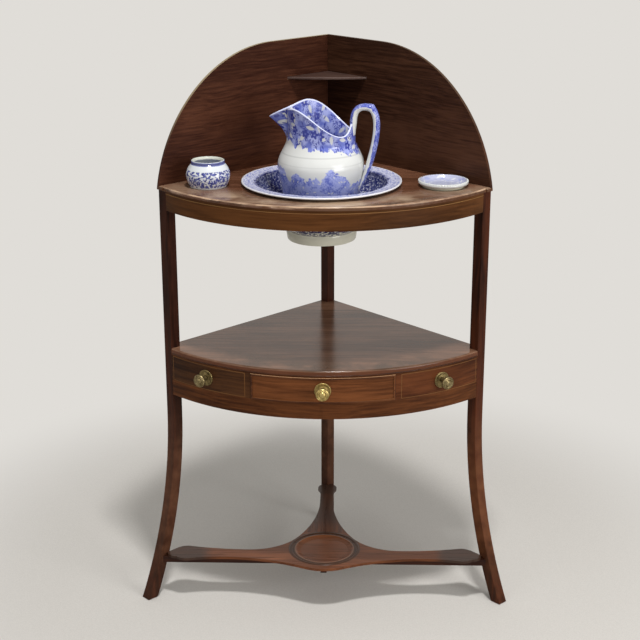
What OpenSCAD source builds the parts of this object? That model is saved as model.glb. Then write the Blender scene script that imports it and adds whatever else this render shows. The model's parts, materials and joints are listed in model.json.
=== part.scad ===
/* [Corner stand] */
// Height of the top surface above the floor
top_z = 864; // [855:1:875]
// Distance along a wall from the corner to the front face of a leg
leg_reach = 452.5; // [450:0.5:456]
// Side of a square front leg
leg_side = 22; // [21:0.5:23]
// Side of the square back leg
back_leg_side = 21; // [20:0.5:22]
// Height at which a front leg starts to curve
sabre_start = 393; // [380:1:400]
// Radius of the front face of a curved leg
sabre_radius = 975; // [950:5:1000]
// Distance from the corner to the middle of the top frieze
top_bow = 485; // [483:0.5:487]
// Distance from the corner to the middle of the drawer frieze
case_bow = 457.3; // [455:0.1:458]
// Thickness of a curved frieze
frieze_t = 18; // [16:1:20]
// Thickness of a side rail
rail_t = 12; // [10:1:13]
// Gap between a side rail and the wall
rail_setback = 2; // [1:0.5:3]
// Length of a tenon
tenon_len = 10; // [8:1:12]
// Length of a tenon in the back leg
back_tenon_len = 8; // [6:0.5:8.5]
// Thickness of a tenon
tenon_t = 6; // [5:0.5:7]

/* [Top] */
// Thickness of the top board
top_t = 7; // [6.5:0.5:7.5]
// Overhang of the top board past the frieze
top_overhang = 1.5; // [1:0.5:2]
// Height of the frieze and board together
top_tier_h = 46; // [44:1:48]
// Height of the stringing below the top surface
stringing_drop = 13; // [12:0.5:16]
// Width of a line of stringing
line_w = 1.4; // [1.2:0.1:1.6]
// Depth of a line of stringing
line_depth = 0.8; // [0.6:0.1:1]
// Length of the square end of the top board over a leg
top_ear = 16; // [14:1:18]

/* [Splash panels] */
// Height of the level top edge above the floor
splash_z = 1112.5; // [1105:0.5:1120]
// Thickness of a panel
splash_t = 6; // [5.5:0.5:6.5]
// Length of the level top edge
splash_level = 160.5; // [155:0.5:165]
// Radius of the falling curve
splash_radius = 300; // [298:1:302]
// Depth of the housing under a panel
splash_housing = 2; // [1.5:0.5:2.5]

/* [Corner shelf] */
// Height of the shelf above the floor
corner_z = 1037; // [1030:1:1045]
// Thickness of the shelf
corner_t = 5; // [4:0.5:6]
// Distance from the corner to the middle of the front edge
corner_bow = 95.4; // [93:0.1:98]
// Radius of the front edge
corner_radius = 459.5; // [440:0.5:480]
// Depth of the housing in a panel
corner_housing = 2; // [1.5:0.5:2.5]

/* [Drawer case] */
// Height of the middle shelf surface above the floor
shelf_z = 535.5; // [532:0.5:538]
// Thickness of the middle shelf
shelf_t = 10; // [9.5:0.5:10.5]
// Radius of the rounded edge of the middle shelf
shelf_round = 4; // [3:0.5:5]
// Height of the case and shelf together
case_h = 98.5; // [96:0.5:101]
// Height of the drawer opening
opening_h = 52; // [51:0.5:53]
// Thickness of the rail over the drawer
upper_rail_t = 3.5; // [3:0.5:4]
// Half the width of the drawer opening
opening_half = 140; // [138:0.5:142]
// Angle at which a stringing rectangle starts
panel_from = 20; // [19.8:0.1:20.5]
// Angle at which a stringing rectangle ends
panel_to = 43.1; // [42.8:0.1:43.2]
// Margin round a stringing rectangle
panel_margin = 0.6; // [0.5:0.1:1]
// Gap between the drawer and the case
drawer_gap = 0.5; // [0.4:0.1:0.6]
// Gap under the drawer
run_gap = 0.3; // [0.3:0.05:0.4]
// Height of a runner
runner_h = 12; // [10:1:14]
// Width of a runner
runner_w = 32; // [28:1:36]
// Width of a guide
guide_w = 12; // [10:1:14]
// Height of a guide
guide_h = 28; // [20:1:32]
// Width of a kicker
kicker_w = 14; // [12:1:16]
// Length of a stop
stop_len = 10; // [8:1:12]
// Height of a stop
stop_h = 6; // [5:0.5:7]

/* [Drawer] */
// Width of a raised bead
bead_w = 3; // [2.5:0.5:3.5]
// Height of a bead above the drawer front
bead_proud = 1.5; // [1:0.5:2]
// Thickness of a drawer side
side_t = 8; // [7:0.5:9]
// Height of a drawer side
side_h = 41.7; // [40:0.1:41.9]
// Distance from the corner to the back of the drawer
drawer_back_y = 190; // [185:1:200]
// Thickness of the drawer bottom
bottom_t = 4; // [3.5:0.5:5]
// Height of the drawer bottom above the drawer edge
bottom_lift = 7.7; // [7.2:0.1:8.5]
// Depth of the groove for the drawer bottom
bottom_groove = 3; // [2.5:0.5:3.5]

/* [Knobs] */
// Depth of the knobs below the middle shelf surface
knob_drop = 39.5; // [38:0.5:41]
// Angle of a side knob
knob_angle = 31.5; // [31:0.1:32]
// Diameter of a rose
rose_d = 32.5; // [31:0.5:34]
// Thickness of a rose
rose_t = 2; // [1.5:0.5:2.5]
// Diameter of a knob head
knob_d = 26; // [25:0.5:27]
// Distance from the frieze to the front of a knob
knob_out = 27; // [25:0.5:28]
// Diameter of a knob stem
stem_d = 9; // [8:0.5:10]
// Diameter of the threaded end
shank_d = 5; // [4:0.5:5.5]
// Gap round the threaded end
shank_gap = 0.1; // [0.05:0.05:0.2]
// Side of a square nut
nut_side = 12; // [11:1:13]
// Thickness of a nut
nut_t = 4; // [3.5:0.5:4.5]

/* [Stretcher] */
// Height of the upper face of the stretcher above the floor
stretcher_z = 93.5; // [90:0.5:97]
// Thickness of the stretcher plate
stretcher_t = 5.5; // [5:0.5:6]
// Distance from the corner to the middle of the turned dish
dish_y = 333.5; // [330:0.5:337]
// Radius of the turned dish piece
dish_r = 73; // [72:0.5:74]
// Radius of the hollow
hollow_r = 60; // [58:0.5:62]
// Radius of the flat floor of the hollow
hollow_floor_r = 49.5; // [47:0.5:51]
// Depth of the hollow
hollow_depth = 3.5; // [3:0.5:4]
// Height of the turned bead above the plate
dish_bead = 1; // [0.5:0.25:1.5]
// Radius of the plate round the dish
plate_r = 88; // [86:0.5:90]
// Distance from the corner to the line of the side arms
arm_y = 358.5; // [356:0.5:361]
// Half the width of a side arm
arm_half = 16.5; // [15:0.5:18]
// Radius of the lobe at the end of a side arm
lobe_r = 27.5; // [26:0.5:29]
// Distance from the middle to a lobe
lobe_x = 285; // [283:0.5:287]
// Radius of the small lobe against a leg
tip_r = 20; // [19:0.5:21]
// Half the width of the back arm
neck_half = 14.7; // [14:0.1:15.5]
// Radius of the lobe round the back leg
back_lobe_r = 21; // [20:0.5:22]
// Width of a stretcher rail
under_w = 12.5; // [11:0.5:14]
// Depth of a stretcher rail
under_h = 14; // [12:0.5:16]
// Distance from the corner to the front end of the middle rail
under_front = 402; // [398:1:405]

/* [Wash set] */
// Sideways place of the basin
basin_x = -5.7; // [-7:0.1:-4]
// Distance from the corner to the middle of the basin
basin_y = 298.8; // [297:0.1:300]
// Radius of the basin rim
basin_r = 155.4; // [154:0.1:156]
// Height of the basin rim above the top
basin_rim = 9; // [8.5:0.5:10]
// Depth of the basin below the top
basin_drop = 107.5; // [106:0.5:109]
// Radius of the basin foot
basin_foot_r = 67; // [66.5:0.5:69]
// Radius of the hole in the top
hole_r = 132.5; // [132:0.5:133]
// Gap between the basin and the hole
hole_gap = 1; // [0.8:0.1:1.2]
// Gap under a standing thing
seat_gap = 0.3; // [0.3:0.05:0.4]
// Thickness of the basin wall
basin_wall = 5; // [4.5:0.5:5.5]
// Thickness of the basin floor
basin_floor_t = 5; // [4.5:0.5:6]
// Height of the basin foot
basin_foot_h = 19; // [18:0.5:20]
// Turn of the jug about its own middle
jug_turn = 10.3; // [8:0.1:12]
// How far the jug stands in front of the middle of the basin
jug_forward = 9.7; // [8:0.1:11]
// Thickness of the jug wall
jug_wall = 4; // [3.5:0.5:4.5]
// Sideways place of the brush pot
pot_x = -223; // [-225:0.5:-220]
// Distance from the corner to the brush pot
pot_y = 321; // [319:0.5:323]
// Height of the brush pot
pot_h = 51; // [48:0.5:54]
// Sideways place of the soap dish
soap_x = 228.3; // [226:0.1:230]
// Distance from the corner to the soap dish
soap_y = 313.8; // [312:0.1:316]
// Height of the soap dish
soap_h = 13; // [12:0.5:15]

/* [Hidden] */
$fn = 96;
wide_fn = 360;
big = 900;
root2 = sqrt(2);

arris_x = (leg_reach - leg_side) / root2;
arris_y = (leg_reach + leg_side) / root2;
function bow_radius(bow) =
    (arris_x * arris_x + (bow - arris_y) * (bow - arris_y)) / (2 * (bow - arris_y));
top_r = bow_radius(top_bow);
top_cy = top_r - top_bow;
case_r = bow_radius(case_bow);
case_cy = case_r - case_bow;
half_depth = (top_bow + top_overhang) / 2;

leg_top = top_z - top_t;
tier_z = top_z - top_tier_h;
case_z = shelf_z - case_h;
rail_z = shelf_z - shelf_t;
open_top = rail_z - upper_rail_t;
open_z = open_top - opening_h;
knob_z = shelf_z - knob_drop;
sabre_u = leg_reach + sabre_radius;
rail_in = rail_setback + rail_t;
tenon_shoulder = 6;
corner_cy = corner_radius - corner_bow;
front_half = opening_half - drawer_gap;
box_half = front_half - 2;
drawer_z = open_z + run_gap;
front_z = drawer_z + bead_w;
front_h = opening_h - 2 * run_gap - 2 * bead_w;
under_z = stretcher_z - stretcher_t - under_h;
seat_z = top_z + seat_gap;
ear_u = splash_level + sqrt(pow(splash_radius, 2) - pow(top_z - splash_z + splash_radius, 2));

module placed() {
    translate([0, half_depth, 0]) children();
}

module on_right() {
    rotate([0, 0, -45]) children();
}

module on_left() {
    mirror([1, 0, 0]) on_right() children();
}

module wall_box(u0, u1, v0, v1, z0, z1) {
    translate([u0, -v1, z0]) cube([u1 - u0, v1 - v0, z1 - z0]);
}

module inside(v) {
    translate([0, -v * root2]) rotate(-135) square(big);
}

module disc(r, cy) {
    translate([0, cy]) circle(r, $fn = wide_fn);
}

module layer(z0, z1) {
    translate([0, 0, z0]) linear_extrude(z1 - z0) children();
}

module span(x0, x1) {
    translate([x0, -big]) square([x1 - x0, big]);
}

module sector(a0, a1) {
    polygon([
        [0, 0],
        [big * sin(a0), -big * cos(a0)],
        [big * sin(a1), -big * cos(a1)]
    ]);
}

module back_leg_plan() {
    rotate(-135) square(back_leg_side);
}

module leg_body() {
    difference() {
        rotate([90, 0, 0]) linear_extrude(leg_side) union() {
            translate([leg_reach - leg_side, sabre_start]) square([leg_side, leg_top - sabre_start]);
            intersection() {
                difference() {
                    translate([sabre_u, sabre_start]) circle(sabre_radius + leg_side, $fn = 2 * wide_fn);
                    translate([sabre_u, sabre_start]) circle(sabre_radius, $fn = 2 * wide_fn);
                }
                translate([leg_reach - leg_side - 1, 0]) square([big / 4, sabre_start]);
            }
        }
        rail_body(tier_z, leg_top);
        rail_body(case_z, rail_z);
    }
}

module rail_body(z0, z1) {
    mid_v = rail_setback + rail_t / 2;
    wall_box(back_leg_side, leg_reach - leg_side, rail_setback, rail_in, z0, z1);
    wall_box(back_leg_side - back_tenon_len, leg_reach - leg_side + tenon_len,
        mid_v - tenon_t / 2, mid_v + tenon_t / 2, z0 + tenon_shoulder, z1 - tenon_shoulder);
}

module back_leg() {
    color("#4a2113") placed() difference() {
        layer(0, leg_top) back_leg_plan();
        on_right() rail_body(tier_z, leg_top);
        on_left() rail_body(tier_z, leg_top);
        on_right() rail_body(case_z, rail_z);
        on_left() rail_body(case_z, rail_z);
    }
}

module right_leg() {
    color("#4a2113") placed() on_right() leg_body();
}

module left_leg() {
    color("#4a2113") placed() on_left() leg_body();
}

module rounded_disc(r, z0, t, round_r) {
    translate([0, 0, z0]) rotate_extrude($fn = wide_fn) union() {
        square([r, t - round_r]);
        square([r - round_r, t]);
        translate([r - round_r, t - round_r]) circle(round_r, $fn = 32);
    }
}

module top_board() {
    edge = top_t / 2 - 0.5;
    color("#7a4a30") placed() difference() {
        union() {
            intersection() {
                translate([0, top_cy, 0]) rounded_disc(top_r + top_overhang, leg_top, top_t, edge);
                layer(leg_top, top_z) inside(0);
            }
            on_right() wall_box(leg_reach - leg_side, ear_u, 0, top_ear, leg_top, top_z);
            on_left() wall_box(leg_reach - leg_side, ear_u, 0, top_ear, leg_top, top_z);
        }
        layer(leg_top - 1, top_z + 1) translate([basin_x, -basin_y]) circle(hole_r);
        on_right() splash_body();
        on_left() splash_body();
    }
}

module top_frieze_plan() {
    difference() {
        intersection() {
            disc(top_r, top_cy);
            inside(leg_side);
        }
        disc(top_r - frieze_t, top_cy);
    }
}

module top_line_body() {
    mid_z = top_z - stringing_drop;
    layer(mid_z - line_w / 2, mid_z + line_w / 2) difference() {
        top_frieze_plan();
        disc(top_r - line_depth, top_cy);
    }
}

module top_frieze() {
    color("#6b371d") placed() difference() {
        layer(tier_z, leg_top) top_frieze_plan();
        top_line_body();
    }
}

module top_stringing() {
    color("#c9a46a") placed() top_line_body();
}

module top_rail_right() {
    color("#4a2113") placed() on_right() rail_body(tier_z, leg_top);
}

module top_rail_left() {
    color("#4a2113") placed() on_left() rail_body(tier_z, leg_top);
}

module glue_block_body() {
    block_u = 200;
    block_len = 40;
    block_side = 14;
    wall_box(block_u, block_u + block_len, rail_in, rail_in + block_side, leg_top - block_side, leg_top);
}

module glue_block_right() {
    color("#8a6a48") placed() on_right() glue_block_body();
}

module glue_block_left() {
    color("#8a6a48") placed() on_left() glue_block_body();
}

module splash_profile() {
    foot_z = top_z - splash_housing;
    translate([0, foot_z]) square([splash_level, splash_z - foot_z]);
    intersection() {
        translate([splash_level, splash_z - splash_radius]) circle(splash_radius, $fn = wide_fn);
        translate([splash_level - 1, foot_z]) square([splash_radius + 1, splash_z - foot_z]);
    }
}

module splash_body() {
    intersection() {
        rotate([90, 0, 0]) linear_extrude(splash_t) splash_profile();
        rotate([0, 0, 45]) translate([0, -big, 0]) cube([big, 2 * big, 2 * big]);
    }
}

module corner_shelf_body() {
    layer(corner_z - corner_t, corner_z) intersection() {
        inside(splash_t - corner_housing);
        disc(corner_radius, corner_cy);
    }
}

module splash_right() {
    color("#3f1a10") placed() difference() {
        on_right() splash_body();
        corner_shelf_body();
    }
}

module splash_left() {
    color("#3f1a10") placed() difference() {
        on_left() splash_body();
        corner_shelf_body();
    }
}

module corner_shelf() {
    color("#5a3020") placed() corner_shelf_body();
}

module front_legs_plan() {
    for (side = [0, 1]) {
        mirror([side, 0]) rotate(-45) {
            translate([leg_reach - leg_side, -leg_side]) square([5 * leg_side, leg_side]);
        }
    }
}

module middle_shelf() {
    color("#6d3d26") placed() intersection() {
        translate([0, case_cy, 0]) rounded_disc(case_r, rail_z, shelf_t, shelf_round);
        layer(rail_z, shelf_z) difference() {
            inside(rail_setback / 2);
            back_leg_plan();
            front_legs_plan();
        }
    }
}

module case_ring_plan() {
    difference() {
        intersection() {
            disc(case_r, case_cy);
            inside(leg_side);
        }
        disc(case_r - frieze_t, case_cy);
    }
}

module upper_rail() {
    color("#6b371d") placed() layer(open_top, rail_z) case_ring_plan();
}

module lower_rail() {
    color("#6b371d") placed() layer(case_z, open_z) case_ring_plan();
}

module sham_lines_body() {
    line_a = line_w / case_r * 180 / PI;
    low = open_z + panel_margin;
    high = open_top - panel_margin;
    intersection() {
        layer(open_z, open_top) difference() {
            case_ring_plan();
            disc(case_r - line_depth, case_cy);
        }
        difference() {
            layer(low, high) translate([0, case_cy]) sector(panel_from, panel_to);
            layer(low + line_w, high - line_w) translate([0, case_cy]) {
                sector(panel_from + line_a, panel_to - line_a);
            }
        }
    }
}

module sham_body() {
    difference() {
        layer(open_z, open_top) intersection() {
            case_ring_plan();
            span(opening_half, big);
        }
        sham_lines_body();
        at_face(knob_angle) shank_hole();
    }
}

module sham_right() {
    color("#6b371d") placed() sham_body();
}

module sham_left() {
    color("#6b371d") placed() mirror([1, 0, 0]) sham_body();
}

module sham_lines_right() {
    color("#c9a46a") placed() sham_lines_body();
}

module sham_lines_left() {
    color("#c9a46a") placed() mirror([1, 0, 0]) sham_lines_body();
}

module case_side_right() {
    color("#4a2113") placed() on_right() rail_body(case_z, rail_z);
}

module case_side_left() {
    color("#4a2113") placed() on_left() rail_body(case_z, rail_z);
}

module case_strip(x0, x1, gap) {
    intersection() {
        span(x0, x1);
        disc(case_r - frieze_t - gap, case_cy);
        inside(rail_in);
    }
}

module runner_body() {
    x1 = opening_half + 10;
    layer(open_z - runner_h, open_z) case_strip(x1 - runner_w, x1, 0);
}

module guide_body() {
    x0 = box_half + drawer_gap;
    layer(open_z, open_z + guide_h) case_strip(x0, x0 + guide_w, drawer_gap);
}

module kicker_body() {
    kick_z = drawer_z + side_h + drawer_gap;
    layer(kick_z, rail_z) case_strip(box_half - kicker_w, box_half, drawer_gap);
}

module stop_body() {
    stop_y = drawer_back_y - run_gap;
    translate([box_half - side_t - 4, -stop_y, open_z]) cube([side_t + 2, stop_len, stop_h]);
}

module runner_right() {
    color("#8a6a48") placed() runner_body();
}

module runner_left() {
    color("#8a6a48") placed() mirror([1, 0, 0]) runner_body();
}

module guide_right() {
    color("#8a6a48") placed() guide_body();
}

module guide_left() {
    color("#8a6a48") placed() mirror([1, 0, 0]) guide_body();
}

module kicker_right() {
    color("#8a6a48") placed() kicker_body();
}

module kicker_left() {
    color("#8a6a48") placed() mirror([1, 0, 0]) kicker_body();
}

module stop_right() {
    color("#8a6a48") placed() stop_body();
}

module stop_left() {
    color("#8a6a48") placed() mirror([1, 0, 0]) stop_body();
}

module at_face(angle) {
    translate([0, case_cy, knob_z]) rotate([0, 0, angle]) translate([0, -case_r, 0]) {
        rotate([90, 0, 0]) children();
    }
}

module shank_hole() {
    translate([0, 0, -frieze_t - 1]) cylinder(d = shank_d + 2 * shank_gap, h = frieze_t + 2);
}

module rose_solid() {
    rotate_extrude() polygon([
        [shank_d / 2 + shank_gap, 0],
        [rose_d / 2, 0],
        [rose_d / 2, rose_t - 1],
        [rose_d / 2 - 1, rose_t],
        [rose_d / 2 - 3, rose_t],
        [stem_d / 2 + 2, rose_t - 0.6],
        [shank_d / 2 + shank_gap, rose_t - 0.6]
    ]);
}

module rose_body(angle) {
    at_face(angle) rose_solid();
}

module knob_solid() {
    head_r = knob_d / 2;
    seat = rose_t - 0.6;
    shank_r = shank_d / 2;
    tail = frieze_t + nut_t + 2;
    rotate_extrude() polygon([
        [0, -tail],
        [shank_r, -tail],
        [shank_r, seat],
        [stem_d / 2, seat],
        [stem_d / 2 - 1, seat + 3],
        [stem_d / 2 - 1, knob_out - 14],
        [head_r - 5, knob_out - 11],
        [head_r - 1, knob_out - 8],
        [head_r, knob_out - 5.5],
        [head_r - 0.6, knob_out - 3.5],
        [head_r - 2.5, knob_out - 2.4],
        [head_r - 5, knob_out - 2],
        [head_r - 6.5, knob_out - 1.2],
        [head_r - 9, knob_out - 0.4],
        [0, knob_out]
    ]);
}

module nut_solid() {
    translate([0, 0, -frieze_t - nut_t - 0.1]) difference() {
        translate([-nut_side / 2, -nut_side / 2, 0]) cube([nut_side, nut_side, nut_t]);
        translate([0, 0, -1]) cylinder(d = shank_d + 2 * shank_gap, h = nut_t + 2);
    }
}

module rose_right() {
    color("#a5813f") placed() rose_body(knob_angle);
}

module rose_left() {
    color("#a5813f") placed() rose_body(-knob_angle);
}

module knob_right() {
    color("#b08a45") placed() at_face(knob_angle) knob_solid();
}

module knob_left() {
    color("#b08a45") placed() at_face(-knob_angle) knob_solid();
}

module nut_right() {
    color("#5f5848") placed() at_face(knob_angle) nut_solid();
}

module nut_left() {
    color("#5f5848") placed() at_face(-knob_angle) nut_solid();
}

function arc(cx, cy, r, a0, a1, steps) =
    [for (i = [0:steps]) let (a = a0 + (a1 - a0) * i / steps) [cx + r * cos(a), cy + r * sin(a)]];

function flipped(list) = [for (i = [len(list) - 1:-1:0]) list[i]];
function far_side(near, r0, r1) = sqrt(pow(r0 + r1, 2) - pow(near, 2));
function crossing(d, r0, r1) = acos((d * d + r0 * r0 - r1 * r1) / (2 * d * r0));

module plate_plan() {
    front_fillet = 400;
    side_fillet = 114;
    back_fillet = 346;
    lobe_front = 316;
    lobe_back = 558;
    lobe_dy = 2.5;
    neck_fillet = 45;
    neck_y = -118;
    back_turn = 28.4;
    tip_dx = 20;
    tip_dy = 1;
    back_lobe_y = -43;

    arm_front = -arm_y - arm_half;
    arm_back = -arm_y + arm_half;
    front_cy = arm_front - front_fillet;
    front_cx = far_side(front_cy + dish_y, plate_r, front_fillet);
    meet = atan2(front_cy + dish_y, front_cx);

    lobe_y = -arm_y + lobe_dy;
    ahead_dy = arm_half + lobe_front + lobe_dy;
    ahead_dx = far_side(ahead_dy, lobe_r, lobe_front);
    ahead_turn = atan2(ahead_dy, ahead_dx);
    behind_dy = arm_half + lobe_back - lobe_dy;
    behind_dx = far_side(behind_dy, lobe_r, lobe_back);
    behind_turn = atan2(behind_dy, behind_dx);
    tip_gap = norm([tip_dx, tip_dy]);
    tip_dir = atan2(tip_dy, tip_dx);
    lobe_meet = crossing(tip_gap, lobe_r, tip_r);
    tip_meet = 180 - crossing(tip_gap, tip_r, lobe_r);

    turn_x = neck_half + back_fillet * (1 - cos(back_turn));
    turn_y = neck_y - back_fillet * sin(back_turn);
    side_cx = turn_x + side_fillet * cos(back_turn);
    side_cy = arm_back + side_fillet;
    neck_cx = neck_half + neck_fillet;
    neck_dy = far_side(neck_cx, back_lobe_r, neck_fillet);
    neck_turn = atan2(neck_dy, neck_cx);

    half = concat(
        arc(0, -dish_y, plate_r, -90, meet, 8),
        arc(front_cx, front_cy, front_fillet, meet + 180, 90, 20),
        arc(lobe_x - ahead_dx, arm_front - lobe_front, lobe_front, 90, ahead_turn, 12),
        arc(lobe_x, lobe_y, lobe_r, ahead_turn - 180, tip_dir - lobe_meet, 14),
        arc(lobe_x + tip_dx, lobe_y + tip_dy, tip_r, tip_dir - tip_meet, tip_dir + tip_meet, 16),
        arc(lobe_x, lobe_y, lobe_r, tip_dir + lobe_meet, 180 - behind_turn, 14),
        arc(lobe_x - behind_dx, arm_back + lobe_back, lobe_back, -behind_turn, -90, 14),
        arc(side_cx, side_cy, side_fillet, 269, 180 + back_turn, 16),
        arc(neck_half + back_fillet, neck_y, back_fillet, 179 + back_turn, 180, 16),
        arc(neck_cx, back_lobe_y - neck_dy, neck_fillet, 180, 180 - neck_turn, 8),
        arc(0, back_lobe_y, back_lobe_r, -neck_turn, 88, 16)
    );
    polygon(concat(half, flipped([for (p = half) [-p[0], p[1]]])));
}

module stretcher_plate() {
    color("#5c3120") placed() layer(stretcher_z - stretcher_t, stretcher_z) difference() {
        plate_plan();
        back_leg_plan();
        front_legs_plan();
        translate([0, -dish_y]) circle(dish_r, $fn = 180);
    }
}

module stretcher_dish() {
    color("#6d3d26") placed() translate([0, -dish_y, stretcher_z - stretcher_t]) {
        rotate_extrude($fn = 180) polygon([
            [0, 0],
            [dish_r, 0],
            [dish_r, stretcher_t],
            [dish_r - 1, stretcher_t + dish_bead * 0.7],
            [dish_r - 3, stretcher_t + dish_bead],
            [dish_r - 5, stretcher_t + dish_bead * 0.7],
            [dish_r - 6.5, stretcher_t - 0.4],
            [dish_r - 8, stretcher_t],
            [hollow_r, stretcher_t],
            [hollow_r - 3, stretcher_t - hollow_depth * 0.5],
            [hollow_floor_r, stretcher_t - hollow_depth],
            [0, stretcher_t - hollow_depth]
        ]);
    }
}

module stretcher_cross() {
    color("#4a2113") placed() difference() {
        layer(under_z, under_z + under_h) intersection() {
            translate([-big / 2, -arm_y - under_w / 2]) square([big, under_w]);
            inside(leg_side);
        }
        translate([-under_w / 2, -arm_y - under_w, under_z + under_h / 2]) {
            cube([under_w, 2 * under_w, under_h]);
        }
    }
}

module stretcher_spine() {
    back_end = back_leg_side * root2 - 3;
    color("#4a2113") placed() difference() {
        layer(under_z, under_z + under_h) difference() {
            translate([-under_w / 2, -under_front]) square([under_w, under_front - back_end]);
            back_leg_plan();
        }
        translate([-under_w, -arm_y - under_w / 2, under_z - 1]) {
            cube([2 * under_w, under_w, under_h / 2 + 1]);
        }
    }
}

module front_plan(x0, x1, proud) {
    difference() {
        intersection() {
            disc(case_r + proud, case_cy);
            span(x0, x1);
        }
        disc(case_r - frieze_t, case_cy);
        translate([-big, case_cy - 100]) square([2 * big, big]);
    }
}

module drawer_front() {
    color("#7a4524") placed() difference() {
        layer(front_z, front_z + front_h) front_plan(-front_half + bead_w, front_half - bead_w, 0);
        at_face(0) shank_hole();
    }
}

module bead_bottom() {
    color("#5a2c18") placed() layer(drawer_z, front_z) front_plan(-front_half, front_half, bead_proud);
}

module bead_top() {
    z0 = front_z + front_h;
    color("#5a2c18") placed() layer(z0, z0 + bead_w) front_plan(-front_half, front_half, bead_proud);
}

module bead_side_body() {
    layer(front_z, front_z + front_h) front_plan(front_half - bead_w, front_half, bead_proud);
}

module bead_right() {
    color("#5a2c18") placed() bead_side_body();
}

module bead_left() {
    color("#5a2c18") placed() mirror([1, 0, 0]) bead_side_body();
}

module box_plan(x0, x1) {
    intersection() {
        disc(case_r - frieze_t, case_cy);
        translate([x0, -big]) square([x1 - x0, big - drawer_back_y]);
    }
}

module bottom_body() {
    z0 = drawer_z + bottom_lift;
    inner = box_half - side_t + bottom_groove;
    layer(z0, z0 + bottom_t) box_plan(-inner, inner);
}

module side_body() {
    difference() {
        layer(drawer_z, drawer_z + side_h) box_plan(box_half - side_t, box_half);
        bottom_body();
    }
}

module drawer_side_right() {
    color("#9a7a52") placed() side_body();
}

module drawer_side_left() {
    color("#9a7a52") placed() mirror([1, 0, 0]) side_body();
}

module drawer_back() {
    z0 = drawer_z + bottom_lift + bottom_t;
    inner = box_half - side_t;
    color("#9a7a52") placed() translate([-inner, -drawer_back_y - side_t, z0]) {
        cube([2 * inner, side_t, drawer_z + side_h - z0]);
    }
}

module drawer_bottom() {
    color("#a98a62") placed() bottom_body();
}

module drawer_rose() {
    color("#a5813f") placed() rose_body(0);
}

module drawer_knob() {
    color("#b08a45") placed() at_face(0) knob_solid();
}

module drawer_nut() {
    color("#5f5848") placed() at_face(0) nut_solid();
}

function bowl(r0, z0, r1, z1, steps) =
    [for (i = [0:steps]) let (a = 45 + 45 * i / steps)
        [r1 - (r1 - r0) * (1 - sin(a)) / (1 - sin(45)), z1 - (z1 - z0) * cos(a) / cos(45)]];

module basin() {
    body_r = hole_r - hole_gap;
    bowl_z = -basin_drop + basin_foot_h;
    floor_z = bowl_z + basin_floor_t;
    floor_r = basin_foot_r - 7;
    color("#c9cfe2") placed() translate([basin_x, -basin_y, top_z]) {
        rotate_extrude($fn = 180) polygon(concat(
            [
                [0, bowl_z],
                [basin_foot_r - 9, bowl_z],
                [basin_foot_r - 6, -basin_drop],
                [basin_foot_r - 1, -basin_drop],
                [basin_foot_r, -basin_drop + 1.5],
                [basin_foot_r + 2, bowl_z - 4]
            ],
            bowl(basin_foot_r + 1, bowl_z, body_r, seat_gap, 18),
            [
                [body_r + 5, seat_gap],
                [basin_r - 2, basin_rim - 3.8],
                [basin_r, basin_rim - 1.8],
                [basin_r - 1, basin_rim],
                [basin_r - 3.5, basin_rim - 0.4],
                [body_r - basin_wall / 2, basin_rim - 2.4]
            ],
            flipped(bowl(floor_r, floor_z, body_r - basin_wall, basin_rim - 4, 18)),
            [[0, floor_z]]
        ));
    }
}

function ease(t) = t * t * (3 - 2 * t);
function mix(a, b, t) = a + (b - a) * t;

jug_base_z = -basin_drop + basin_foot_h + basin_floor_t + seat_gap;
jug_neck_z = 85;
jug_spin = 56;
jug_levels = 14;
jug_neck_levels = 7;
jug_x = basin_x - 1;
jug_y = basin_y + jug_forward;
mouth_back = 63.1;
mouth_side = 74.3;
pour = 101.4;
pour_turn = 8.65;
rim_low = 99.7;
rim_high = 154;
rim_peak = 41.4;

function jug_radius(z) =
    z < -20 ? 48 + 26 * sin(90 * (z - jug_base_z) / (-20 - jug_base_z))
    : z < 42 ? 74 + 9 * ease((z + 20) / 62)
    : 83 - 19 * ease(min(1, (z - 42) / 55));
function spin(i) = let (k = (2 * i - jug_spin) / jug_spin) 180 * sign(k) * pow(abs(k), 1.6);
function lip_r(a) =
    mix(mouth_back, mouth_side, pow(sin(a), 2)) + (pour - mouth_back) * exp(-pow(a / pour_turn, 2));
function lip_z(t) =
    t < rim_peak
    ? mix(rim_low, rim_high, ease(max(0, (t + mouth_back) / (rim_peak + mouth_back))))
    : rim_high - 24.2 * pow((t - rim_peak) / (pour - rim_peak), 1.34);
function lip_rise(a) = 24.6 * exp(-pow((180 - abs(a)) / 24, 2));
function jug_point(a, j, inset) =
    j <= jug_levels
    ? let (z = mix(jug_base_z, jug_neck_z, j / jug_levels)) [jug_radius(z) - inset, z]
    : let (
        s = (j - jug_levels) / jug_neck_levels,
        r1 = lip_r(a),
        z1 = lip_z(r1 * cos(a)) + lip_rise(a),
        r0 = jug_radius(jug_neck_z)
    ) [mix(r0, r1, pow(s, 1.4)) - 3 * sin(180 * s) * exp(-pow(a / 60, 2)) - inset, mix(jug_neck_z, z1, s)];
function lifted(p, j, floor_z) = [p[0], j == 0 ? floor_z : max(p[1], floor_z)];
function jug_ring(j, inset, floor_z) =
    [for (i = [0:jug_spin - 1]) let (a = spin(i), p = lifted(jug_point(a, j, inset), j, floor_z))
        [p[0] * cos(a), p[0] * sin(a), p[1]]];

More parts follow.
